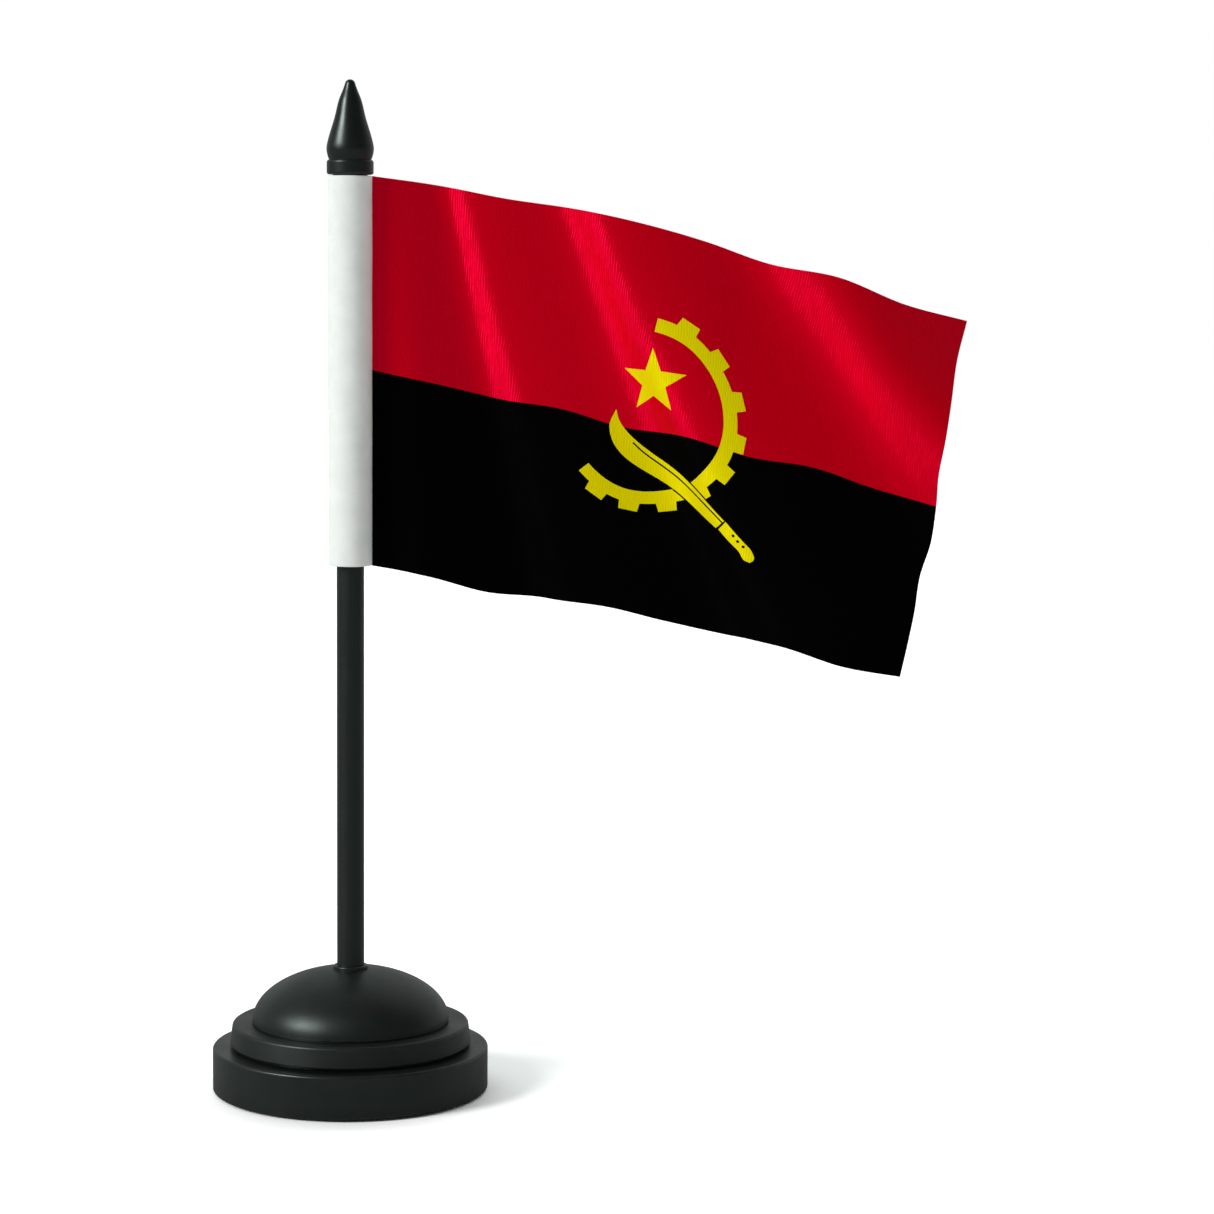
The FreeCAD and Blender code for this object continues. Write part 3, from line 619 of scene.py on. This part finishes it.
# %% [markdown]
# ## The print
#
# The flag is printed in three inks: red above, black below, and a yellow emblem of half a cogwheel, a machete
# and a star. It could be drawn by the shader, but circles, teeth and a curved blade make a large node tree that
# blurs at the edges. Here each shape is an outline in flat millimetres, and the cloth's mesh is cut along it,
# so an ink is simply the faces inside the outline. The edge of the ink stays sharp from any distance. The blade
# has a black edging only where it crosses the yellow wheel.
#
# The artwork is drawn for a shorter flag and stretched along the fly to fill this one, so it is laid out
# unstretched from its own centre, with Y up, and one function places it.

# %% Emblem outlines
PRINT_SPLIT = 49.5
EMBLEM_CENTRE = (75.7, 44.9)
EMBLEM_STRETCH = 1.13
RING_INSIDE = 20.85
RING_OUTSIDE = 24.2
TOOTH_TIP = 26.5
TOOTH_ROOT_HALF = 6.0
TOOTH_TIP_HALF = 5.0
TOOTH_ANGLES = (67.0, 44.3, 20.5, -4.7, -26.5, -47.5, -73.1, -94.4, -114.0)
WHEEL_START = 83.8
WHEEL_END = -128.1
STAR_CENTRE = (2.6, 8.3)
STAR_POINT = 8.5
STAR_NOTCH = 3.5
STAR_TILT = 2.2
BLADE_BACK = ((-6.9, -0.3), (-6.0, -3.0), (-4.0, -5.5), (-0.7, -8.3), (3.0, -10.9), (7.0, -13.3), (12.7, -16.6),
              (18.7, -19.9), (24.2, -23.1))
BLADE_EDGE = ((-6.9, -0.3), (-8.2, -4.1), (-8.1, -6.6), (-7.1, -9.3), (-5.1, -11.6), (-2.3, -13.6),
              (1.1, -15.5), (6.9, -18.5), (14.1, -22.2), (22.1, -25.7))
BLADE_FULLER = ((-2.5, -8.1), (0.7, -10.8), (6.3, -14.4), (13.2, -18.3), (20.5, -21.9), (23.7, -23.7))
GRIP_TOP = ((24.6, -23.2), (27.5, -25.5), (29.9, -27.5), (31.6, -29.0), (32.7, -30.9), (32.6, -32.0),
            (31.9, -32.7))
GRIP_BOTTOM = ((31.9, -32.7), (30.3, -32.2), (29.4, -31.0), (28.7, -30.0), (26.3, -28.3), (22.9, -25.8))
GRIP_RIVETS = ((27.0, -26.3), (28.3, -27.5), (29.8, -28.6))
RIVET_RADIUS = 0.42
FULLER_WIDTH = 0.42
BLADE_EDGING = 0.42
EDGING_START = 0.8


def placed(points):
    """Artwork millimetres, Y up from its own centre, as flat millimetres on the cloth."""
    points = np.asarray(points, float)
    return np.column_stack((EMBLEM_CENTRE[0] + points[:, 0] * EMBLEM_STRETCH, EMBLEM_CENTRE[1] - points[:, 1]))


def round_about(radius, angle, centre=(0, 0)):
    """A point at an angle in degrees on a circle."""
    return (centre[0] + radius * cos(radians(angle)), centre[1] + radius * sin(radians(angle)))


def arc(radius, start, end, step=2.0):
    """Points along an arc, both ends included."""
    count = max(int(abs(end - start) / step), 1)
    return [round_about(radius, start + (end - start) * i / count) for i in range(count + 1)]


def curve(points, per_span=6):
    """A smooth line through a few points."""
    points = np.asarray(points, float)
    share = np.linspace(0, 1, (len(points) - 1) * per_span + 1)
    return np.column_stack((smooth(points[:, 0], share), smooth(points[:, 1], share)))


def cogwheel():
    """Half a cogwheel: the toothed outside clockwise, then the plain inside back."""
    outline = []
    angle = WHEEL_START
    for tooth in TOOTH_ANGLES:
        outline += arc(RING_OUTSIDE, angle, tooth + TOOTH_ROOT_HALF)
        outline.append(round_about(TOOTH_TIP, tooth + TOOTH_TIP_HALF))
        outline.append(round_about(TOOTH_TIP, tooth - TOOTH_TIP_HALF))
        angle = tooth - TOOTH_ROOT_HALF
    outline += arc(RING_OUTSIDE, angle, WHEEL_END)
    return outline + arc(RING_INSIDE, WHEEL_END, WHEEL_START)


def star():
    """Five points, a little tilted."""
    turn = 90 + STAR_TILT
    radii = (STAR_POINT, STAR_NOTCH)
    return [round_about(radii[i % 2], turn + 36 * i, STAR_CENTRE) for i in range(10)]


def widened(line, width):
    """A closed outline round an open line, width millimetres wide."""
    along = np.gradient(line, axis=0)
    side = np.column_stack((-along[:, 1], along[:, 0])) / np.linalg.norm(along, axis=1)[:, None] * width / 2
    return np.vstack((line + side, (line - side)[::-1]))


def grown(outline, margin):
    """A closed outline pushed outwards by a margin."""
    ahead = np.roll(outline, -1, axis=0) - np.roll(outline, 1, axis=0)
    length = np.maximum(np.linalg.norm(ahead, axis=1), 1e-9)
    side = np.column_stack((ahead[:, 1], -ahead[:, 0])) / length[:, None]
    turning = np.sum(outline[:, 0] * np.roll(outline[:, 1], -1) - outline[:, 1] * np.roll(outline[:, 0], -1))
    return outline + side * margin * np.sign(turning)


blade = np.vstack((curve(BLADE_BACK), curve(BLADE_EDGE)[:0:-1]))
edging = grown(blade, BLADE_EDGING)
edging = edging[np.hypot(*edging.T) > RING_INSIDE - EDGING_START]
grip = np.vstack((curve(GRIP_TOP, 4), curve(GRIP_BOTTOM, 4)[1:]))
rivets = [[round_about(RIVET_RADIUS, 45 * i, centre) for i in range(8)] for centre in GRIP_RIVETS]
ARTWORK = [
    ("yellow", cogwheel()), ("yellow", star()), ("black", edging), ("yellow", blade),
    ("black", widened(curve(BLADE_FULLER), FULLER_WIDTH)), ("yellow", grip),
    *[("black", rivet) for rivet in rivets],
]
ARTWORK = [(ink, placed(outline)) for ink, outline in ARTWORK]
print("artwork:", len(ARTWORK), "outlines,", sum(len(outline) for ink, outline in ARTWORK), "corners")

# %% [markdown]
# ## Cutting the sheet
#
# A constrained Delaunay triangulation takes loose points and lines that must become edges, and fills the area
# with well-shaped triangles. The points are a staggered grid 1.25 mm apart, fine enough to bend smoothly over
# the waves. The lines are the artwork, the boundary of red and black, and three loops round the rim.
#
# The rim is there because the cloth is cut with a hot wire. Polyester melts, so the cut edge is a thin hard
# bead, a little thicker than the cloth. Its three loops give the bead its round section.

# %% Flat mesh
CELL = 1.25
THICK = 0.28
BEAD_LOOPS = ((0.0, 0.10), (0.16, 0.42), (0.5, THICK))
RIM_MARGIN = 1.1
ROW_PITCH = CELL * 0.87


def loop_points(inset):
    """A rectangle inset from the cloth's edge, with a point about every cell."""
    low = np.array((inset, inset))
    high = np.array((FLAG_FLY - inset, FLAG_HOIST - inset))
    corners = [low, (high[0], low[1]), high, (low[0], high[1])]
    points = []
    for start, end in zip(corners, corners[1:] + corners[:1]):
        count = round(np.linalg.norm(np.subtract(end, start)) / CELL)
        points += [np.array(start) + (np.array(end) - start) * i / count for i in range(count)]
    return np.array(points)


def staggered_grid():
    """Points in offset rows, like bricks, clear of the rim."""
    columns = np.arange(RIM_MARGIN, FLAG_FLY - RIM_MARGIN, CELL)
    rows = np.arange(RIM_MARGIN, FLAG_HOIST - RIM_MARGIN, ROW_PITCH)
    points = [(x + (CELL / 2 if i % 2 else 0), y) for i, y in enumerate(rows) for x in columns]
    return np.array([point for point in points if point[0] < FLAG_FLY - RIM_MARGIN])


def inside(points, outline):
    """Which points lie inside a closed outline, by counting crossings."""
    x, y = points[:, 0], points[:, 1]
    found = np.zeros(len(points), bool)
    for (x0, y0), (x1, y1) in zip(outline, np.roll(outline, -1, axis=0)):
        if y0 != y1:
            found ^= ((y0 > y) != (y1 > y)) & (x < (x1 - x0) * (y - y0) / (y1 - y0) + x0)
    return found


def clear_of_lines(points, lines, gap=0.4):
    """Drops points that would squeeze thin triangles against a line."""
    keep = np.ones(len(points), bool)
    for line in lines:
        ends = np.roll(line, -1, axis=0)
        for start, end in zip(line, ends):
            way = end - start
            share = np.clip((points - start) @ way / max(way @ way, 1e-9), 0, 1)[:, None]
            keep &= np.linalg.norm(points - (start + share * way), axis=1) > gap
    return points[keep]


def cut_sheet():
    """The flat cloth as points, triangles and each triangle's ink."""
    lines = [outline for ink, outline in ARTWORK]
    count = round(FLAG_FLY / CELL)
    split = np.column_stack((np.linspace(0, FLAG_FLY, count + 1), np.full(count + 1, PRINT_SPLIT)))
    there_and_back = np.vstack((split, split[-2:0:-1]))
    loops = [loop_points(loop[0]) for loop in BEAD_LOOPS]
    points = [clear_of_lines(staggered_grid(), [*lines, there_and_back])]
    edges = []
    start = len(points[0])
    for line in [*lines, *loops]:
        edges += [(start + i, start + (i + 1) % len(line)) for i in range(len(line))]
        points.append(line)
        start += len(line)
    edges += [(start + i, start + i + 1) for i in range(count)]
    points.append(split)
    joined = [Vector(point) for point in np.vstack(points)]
    made, _, faces, *_ = delaunay_2d_cdt(joined, edges, [], 0, 1e-5)
    flat = np.array([tuple(point) for point in made])
    faces = np.array([face for face in faces])
    centres = flat[faces].mean(axis=1)
    inks = np.where(centres[:, 1] < PRINT_SPLIT, 0, 1)
    for ink, outline in ARTWORK:
        inks[inside(centres, outline)] = {"black": 1, "yellow": 2}[ink]
    return flat, faces, inks


flat_points, flat_faces, face_inks = cut_sheet()
print("sheet:", len(flat_points), "points,", len(flat_faces), "triangles, by ink", np.bincount(face_inks))

# %% [markdown]
# ## Printed polyester satin
#
# The cloth is a light polyester satin, dye-printed by heat. The dye sinks into the fibre, so the colour is very
# saturated and has no film of its own. Satin floats most of its warp on the face, and the floats lie down the
# hoist. They catch the softbox in long streaks wherever a wave turns towards it, and there the dye tints the
# reflection: the red turns to a cool magenta. That tint is the shader's specular tint.
#
# Up close, the floats lie in fine twill lines. The real lines are about 0.25 mm apart. They are drawn 0.7 mm
# apart, running down the hoist with a slight wander, and they show mostly in the streaks, as on the cloth. The
# UV map holds flat millimetres, so the weave follows the cloth over its waves.
#
# From behind, the same dye shows through, a little paler and duller, because it was laid on from the front.

# %% Cloth inks
TWILL_PITCH = 0.7


def printed_satin(name, colour, shine_tint, shine=1.0, satin=0.36, gleam=0.5):
    """One ink on the satin. Colour varies with the thread, and shine_tint colours the streaks."""
    material, tree, shader, place = start_material(
        name, IOR=1.5, Specular_IOR_Level=shine, Specular_Tint=shine_tint, Metallic=gleam,
        Anisotropic=0.9, Anisotropic_Rotation=0.25,
    )
    tree.nodes.remove(place.node)
    tangent = add(tree, "Tangent", direction_type="UV_MAP", uv_map="flat_mm").outputs[0]
    tree.links.new(tangent, shader.inputs["Tangent"])
    flat = add(tree, "UVMap", uv_map="flat_mm").outputs["UV"]
    wander = grain(tree, flat, 9, detail=2)
    across = add(tree, "SeparateXYZ", {"Vector": flat}).outputs["X"]
    shifted = arithmetic(tree, "MULTIPLY_ADD", wander, 2.4, across)
    turns = arithmetic(tree, "MULTIPLY", shifted, 2 * pi / TWILL_PITCH)
    rib = arithmetic(tree, "SINE", turns)
    uneven = drawn_noise(tree, flat, (2.2, 0.25, 1), detail=3.0)
    height = arithmetic(tree, "MULTIPLY_ADD", rib, 0.35, uneven)
    base = linear(colour)
    dark = (*[c * 0.94 for c in base], 1)
    tone = {"Factor": between(tree, height, 0, 1, 0.1, 0.9), "A": dark, "B": (*base, 1)}
    tree.links.new(add(tree, "Mix", tone, data_type="RGBA").outputs["Result"], shader.inputs["Base Color"])
    tree.links.new(between(tree, uneven, satin - 0.04, satin + 0.05), shader.inputs["Roughness"])
    relief(tree, shader, height, 0.05)
    return material


NO_TINT = (1.0, 1.0, 1.0, 1)
INKS = [
    printed_satin("red_dye_on_polyester_satin", "#ff0000", (1.0, 0.0, 0.9, 1)),
    printed_satin("black_dye_on_polyester_satin", "#030303", NO_TINT, shine=0.01, satin=0.6, gleam=0.0),
    printed_satin("yellow_dye_on_polyester_satin", "#f8e800", (1.0, 0.9, 0.0, 1), gleam=0.15),
    printed_satin("red_dye_seen_through_the_back", "#d60a10", (1.0, 0.1, 0.8, 1), satin=0.48),
    printed_satin("black_dye_seen_through_the_back", "#0b0a0a", NO_TINT, shine=0.05, satin=0.65, gleam=0.0),
    printed_satin("yellow_dye_seen_through_the_back", "#e8d810", (1.0, 0.9, 0.1, 1), satin=0.48),
]
print("inks:", [ink.name for ink in INKS])

# %% [markdown]
# ## Hanging the sheet
#
# The flat triangles are carried to the drape twice: once pushed towards the front by half the cloth's
# thickness, and once towards the back, turned over. Short faces close the rim between the two. The thickness
# comes from the distance to the edge, so the bead appears by itself. The faces' shading uses the drape's own
# normals, which are smoother than the triangles' average.

# %% Flag cloth


def thickness(flat):
    """The cloth's thickness at flat points: a bead round the cut edge, and even inside it."""
    x, y = flat[:, 0], flat[:, 1]
    inset = np.minimum(np.minimum(x, FLAG_FLY - x), np.minimum(y, FLAG_HOIST - y))
    places, thicks = zip(*BEAD_LOOPS)
    return np.interp(inset, places, thicks)


def rim_edges(faces):
    """Edges that belong to one triangle only, in that triangle's direction."""
    pairs = np.vstack([faces[:, (i, (i + 1) % 3)] for i in range(3)])
    seen = {tuple(pair) for pair in pairs.tolist()}
    return [pair for pair in seen if (pair[1], pair[0]) not in seen]


def hang_sheet():
    """The flag as one closed mesh with an ink on every face."""
    centre = hang(flat_points)
    ways = hang(flat_points, CLOTH_WAYS)
    half = thickness(flat_points)[:, None] / 2
    front = centre - ways * half
    rear = centre + ways * half
    count = len(flat_points)
    corners = flat_points[flat_faces]
    one, two = corners[:, 1] - corners[:, 0], corners[:, 2] - corners[:, 0]
    turn = one[:, 0] * two[:, 1] - one[:, 1] * two[:, 0]
    facing_front = np.where(turn[:, None] < 0, flat_faces, flat_faces[:, ::-1])
    faces = facing_front.tolist() + (facing_front[:, ::-1] + count).tolist()
    rim = rim_edges(facing_front)
    faces += [(b, a, a + count, b + count) for a, b in rim]
    mesh = bpy.data.meshes.new("flag_print_cloth")
    mesh.from_pydata((np.vstack((front, rear)) * MM).tolist(), [], faces)
    for ink in INKS:
        mesh.materials.append(ink)
    middles = [(flat_points[a] + flat_points[b]) / 2 for a, b in rim]
    rim_inks = [0 if point[1] < PRINT_SPLIT else 1 for point in middles]
    mesh.polygons.foreach_set("material_index", [*face_inks, *(face_inks + 3), *rim_inks])
    uv = mesh.uv_layers.new(name="flat_mm")
    order = np.zeros(len(mesh.loops), int)
    mesh.loops.foreach_get("vertex_index", order)
    uv.data.foreach_set("uv", flat_points[order % count].astype(np.float32).ravel())
    mesh.shade_smooth()
    mesh.normals_split_custom_set_from_vertices(np.vstack((-ways, ways)).tolist())
    mesh.validate()
    return mesh


def put(name, mesh, body, stands_for=None):
    """Places a finished mesh as a piece of the object."""
    piece = bpy.data.objects.new(name, mesh)
    bpy.context.scene.collection.objects.link(piece)
    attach(piece, body)
    if stands_for:
        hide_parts(stands_for)
    print(name, "has", len(mesh.vertices), "points and", len(mesh.polygons), "faces")
    return piece


flag = put("flag_satin", hang_sheet(), "flag", "flag_cloth")

# %% [markdown]
# ## The sleeve
#
# The white sleeve is a second piece of the same satin, unprinted. Such a sleeve can be wrapped round its liner
# tube and welded to itself and to the flag by a strip along the back, with a toothed ultrasonic tool, and that
# is how this one is drawn. So the front is smooth, and the back has a flap with two rows of pressed dashes.
#
# It is built as a tube: rings of points whose radius wanders by a few hundredths of a millimetre, with both
# ends turned in over a small radius, because cloth that is cut hot rounds off at the edge.

# %% Sleeve
SLEEVE_WALL = 0.5
SLEEVE_SIDES = 120
SLEEVE_RINGS = 96
INSIDE_RING_STEP = 12
LIP_ANGLES = [radians(angle) for angle in range(30, 180, 30)]
RIPPLE_INSET = 0.05
RIPPLE_DEPTH = 0.06
RIPPLE_FADE = 6.0
SLEEVE_SEED = 7
sleeve_random = np.random.default_rng(SLEEVE_SEED)
RIPPLES = [(sleeve_random.integers(1, 5), sleeve_random.uniform(0.05, 0.3), sleeve_random.uniform(0, 2 * pi))
           for _ in range(7)]


def sleeve_radius(angle, height):
    """The cloth's outside radius, with a slight unevenness that fades at both ends."""
    ripple = sum(np.sin(turns * angle + lean * height + start) for turns, lean, start in RIPPLES) / len(RIPPLES)
    ends = np.minimum(np.minimum(height - sleeve_low.z, SLEEVE_TOP - height) / RIPPLE_FADE, 1)
    return SLEEVE_RADIUS - RIPPLE_INSET + RIPPLE_DEPTH * ripple * np.clip(ends, 0, 1)


def sleeve_mesh():
    """A cloth tube: up the outside, over a rounded rim, down the inside, and over the lower rim."""
    lip = SLEEVE_WALL / 2
    low, high = sleeve_low.z + lip, SLEEVE_TOP - lip
    heights = np.linspace(low, high, SLEEVE_RINGS)
    section = [(0.0, height) for height in heights]
    section += [(lip - lip * cos(angle), high + lip * sin(angle)) for angle in LIP_ANGLES]
    section += [(SLEEVE_WALL, height) for height in heights[::-INSIDE_RING_STEP]]
    section += [(lip + lip * cos(angle), low - lip * sin(angle)) for angle in LIP_ANGLES]
    angles = np.linspace(0, 2 * pi, SLEEVE_SIDES, endpoint=False)
    points = []
    for inward, height in section:
        radius = sleeve_radius(angles, height) - inward
        level = np.full(SLEEVE_SIDES, height)
        points.append(np.column_stack((radius * np.cos(angles), radius * np.sin(angles), level)))
    count, rings = SLEEVE_SIDES, len(section)
    faces = []
    for ring in range(rings):
        for side in range(count):
            a, b = ring * count + side, ring * count + (side + 1) % count
            above = ((ring + 1) % rings - ring) * count
            faces.append((a, b, b + above, a + above))
    mesh = bpy.data.meshes.new("sleeve_satin")
    mesh.from_pydata((np.vstack(points) * MM).tolist(), [], faces)
    mesh.shade_smooth()
    return mesh


def white_satin(name):
    """Bleached polyester satin: bright, a little cool, with a soft sheen and a fine weave."""
    material, tree, shader, place = start_material(
        name, IOR=1.5, Specular_IOR_Level=0.25, Sheen_Weight=0.08, Sheen_Roughness=0.4,
    )
    weft = bands(tree, place, 0.5, Distortion=0.6, Detail_Scale=0.3)
    slub = grain(tree, place, 0.35, detail=3)
    height = arithmetic(tree, "MULTIPLY_ADD", weft, 0.6, slub)
    tint(tree, shader, between(tree, grain(tree, place, 5), 0, 1), "#e9edea", "#eff2f0")
    tree.links.new(between(tree, slub, 0.45, 0.6), shader.inputs["Roughness"])
    relief(tree, shader, height, 0.03)
    return material


WHITE_SATIN = white_satin("bleached_polyester_satin")
sleeve_data = sleeve_mesh()
sleeve_data.materials.append(WHITE_SATIN)
sleeve = put("sleeve_satin", sleeve_data, "flag", "flag_sleeve")

# %% [markdown]
# ## The welded flap
#
# Behind the flag, the sleeve's cloth leaves the tube, bridges the small gap and lies flat on the back of the
# flag for 7 mm. The tool presses short dashes through both layers, in two rows, 3 mm apart down the hoist. The
# flap is a grid over a path across it, taken from the tube, a small bend, and the back of the draped cloth. The
# dashes are real dents in the grid, so they catch the light at any size.

# %% Welded flap
FLAP_WIDTH = 7.0
FLAP_THICK = 0.26
FLAP_START = radians(38)
DASH_PITCH = 3.0
DASH_ROWS = (3.0, 5.4)
DASH_DEPTH = 0.14
DASH_HALF_WIDTH = 0.28
DASH_PLATEAU = 1.6
DASH_GAP_HALF = 0.45
DASH_SLOPE = 0.3
FLAP_BRIDGE = 0.35
FLAP_TOUCH = 1.2
ELBOW_OUT = 0.2
ELBOW_BACK = 0.5
FLAP_ENDS = 0.4
FLAP_EDGE_THIN = 0.4
FLAP_GRID = (265, 34)


def flap_along(across):
    """How far from the hoist a share across the flap lies on the flag, from where the flap first touches it."""
    on_flag = np.clip((across - FLAP_BRIDGE) / (1 - FLAP_BRIDGE), 0, 1)
    return on_flag * (FLAP_WIDTH - FLAP_TOUCH) + FLAP_TOUCH


def flap_path(depth, across):
    """A point on the flap's middle surface: across runs from 0 on the tube to 1 at its free edge."""
    radius = SLEEVE_RADIUS + FLAP_THICK / 2
    start = np.array((radius * cos(FLAP_START), radius * sin(FLAP_START)))
    flat = np.array([[flap_along(across), depth]])
    on_cloth = hang(flat)[0] + hang(flat, CLOTH_WAYS)[0] * (THICK + FLAP_THICK) / 2
    if across >= FLAP_BRIDGE:
        return on_cloth
    share = across / FLAP_BRIDGE
    elbow = np.array((SLEEVE_RADIUS + ELBOW_OUT, on_cloth[1] + ELBOW_BACK))
    bent = start * (1 - share) ** 2 + elbow * 2 * share * (1 - share) + on_cloth[:2] * share**2
    height = (SLEEVE_TOP - depth) * (1 - share) + on_cloth[2] * share
    return np.array((bent[0], bent[1], height))


def dash_dent(along, depth):
    """How deep the weld has pressed the cloth, from 0 to 1."""
    rows = [np.clip(DASH_PLATEAU - abs(along - row) / DASH_HALF_WIDTH, 0, 1) for row in DASH_ROWS]
    place = abs((depth / DASH_PITCH) % 1 - 0.5) * DASH_PITCH
    return max(rows) * np.clip((place - DASH_GAP_HALF) / DASH_SLOPE, 0, 1)


def flap_mesh():
    """A thin closed strip with pressed dashes."""
    down, across = FLAP_GRID
    shares = np.linspace(0, 1, across)
    depths = np.linspace(FLAP_ENDS, FLAG_HOIST - FLAP_ENDS, down)
    middle = np.array([[flap_path(depth, share) for share in shares] for depth in depths])
    ways = surface_ways(middle)
    along = flap_along(shares)
    dents = np.array([[dash_dent(a, depth) for a in along] for depth in depths])[:, :, None] * DASH_DEPTH
    edge = np.ones((len(depths), len(shares), 1))
    edge[[0, -1]] = FLAP_EDGE_THIN
    edge[:, [0, -1]] = FLAP_EDGE_THIN
    outer = middle + ways * (FLAP_THICK / 2 * edge - dents)
    inner = middle - ways * FLAP_THICK / 2 * edge
    rows, columns = middle.shape[:2]
    number = np.arange(rows * columns).reshape(rows, columns)
    quads = [(number[j, i], number[j, i + 1], number[j + 1, i + 1], number[j + 1, i])
             for j in range(rows - 1) for i in range(columns - 1)]
    total = rows * columns
    faces = [quad[::-1] for quad in quads] + [tuple(n + total for n in quad) for quad in quads]
    border = [*number[0, :-1], *number[:-1, -1], *number[-1, :0:-1], *number[:0:-1, 0]]
    for a, b in zip(border, border[1:] + border[:1]):
        faces.append((a, b, b + total, a + total))
    mesh = bpy.data.meshes.new("sleeve_weld_flap")
    points = np.vstack((outer.reshape(-1, 3), inner.reshape(-1, 3))) * MM
    mesh.from_pydata(points.tolist(), [], [tuple(int(n) for n in face) for face in faces])
    mesh.shade_smooth()
    return mesh


flap_data = flap_mesh()
flap_data.materials.append(WHITE_SATIN)
flap = put("sleeve_weld_flap", flap_data, "flag")
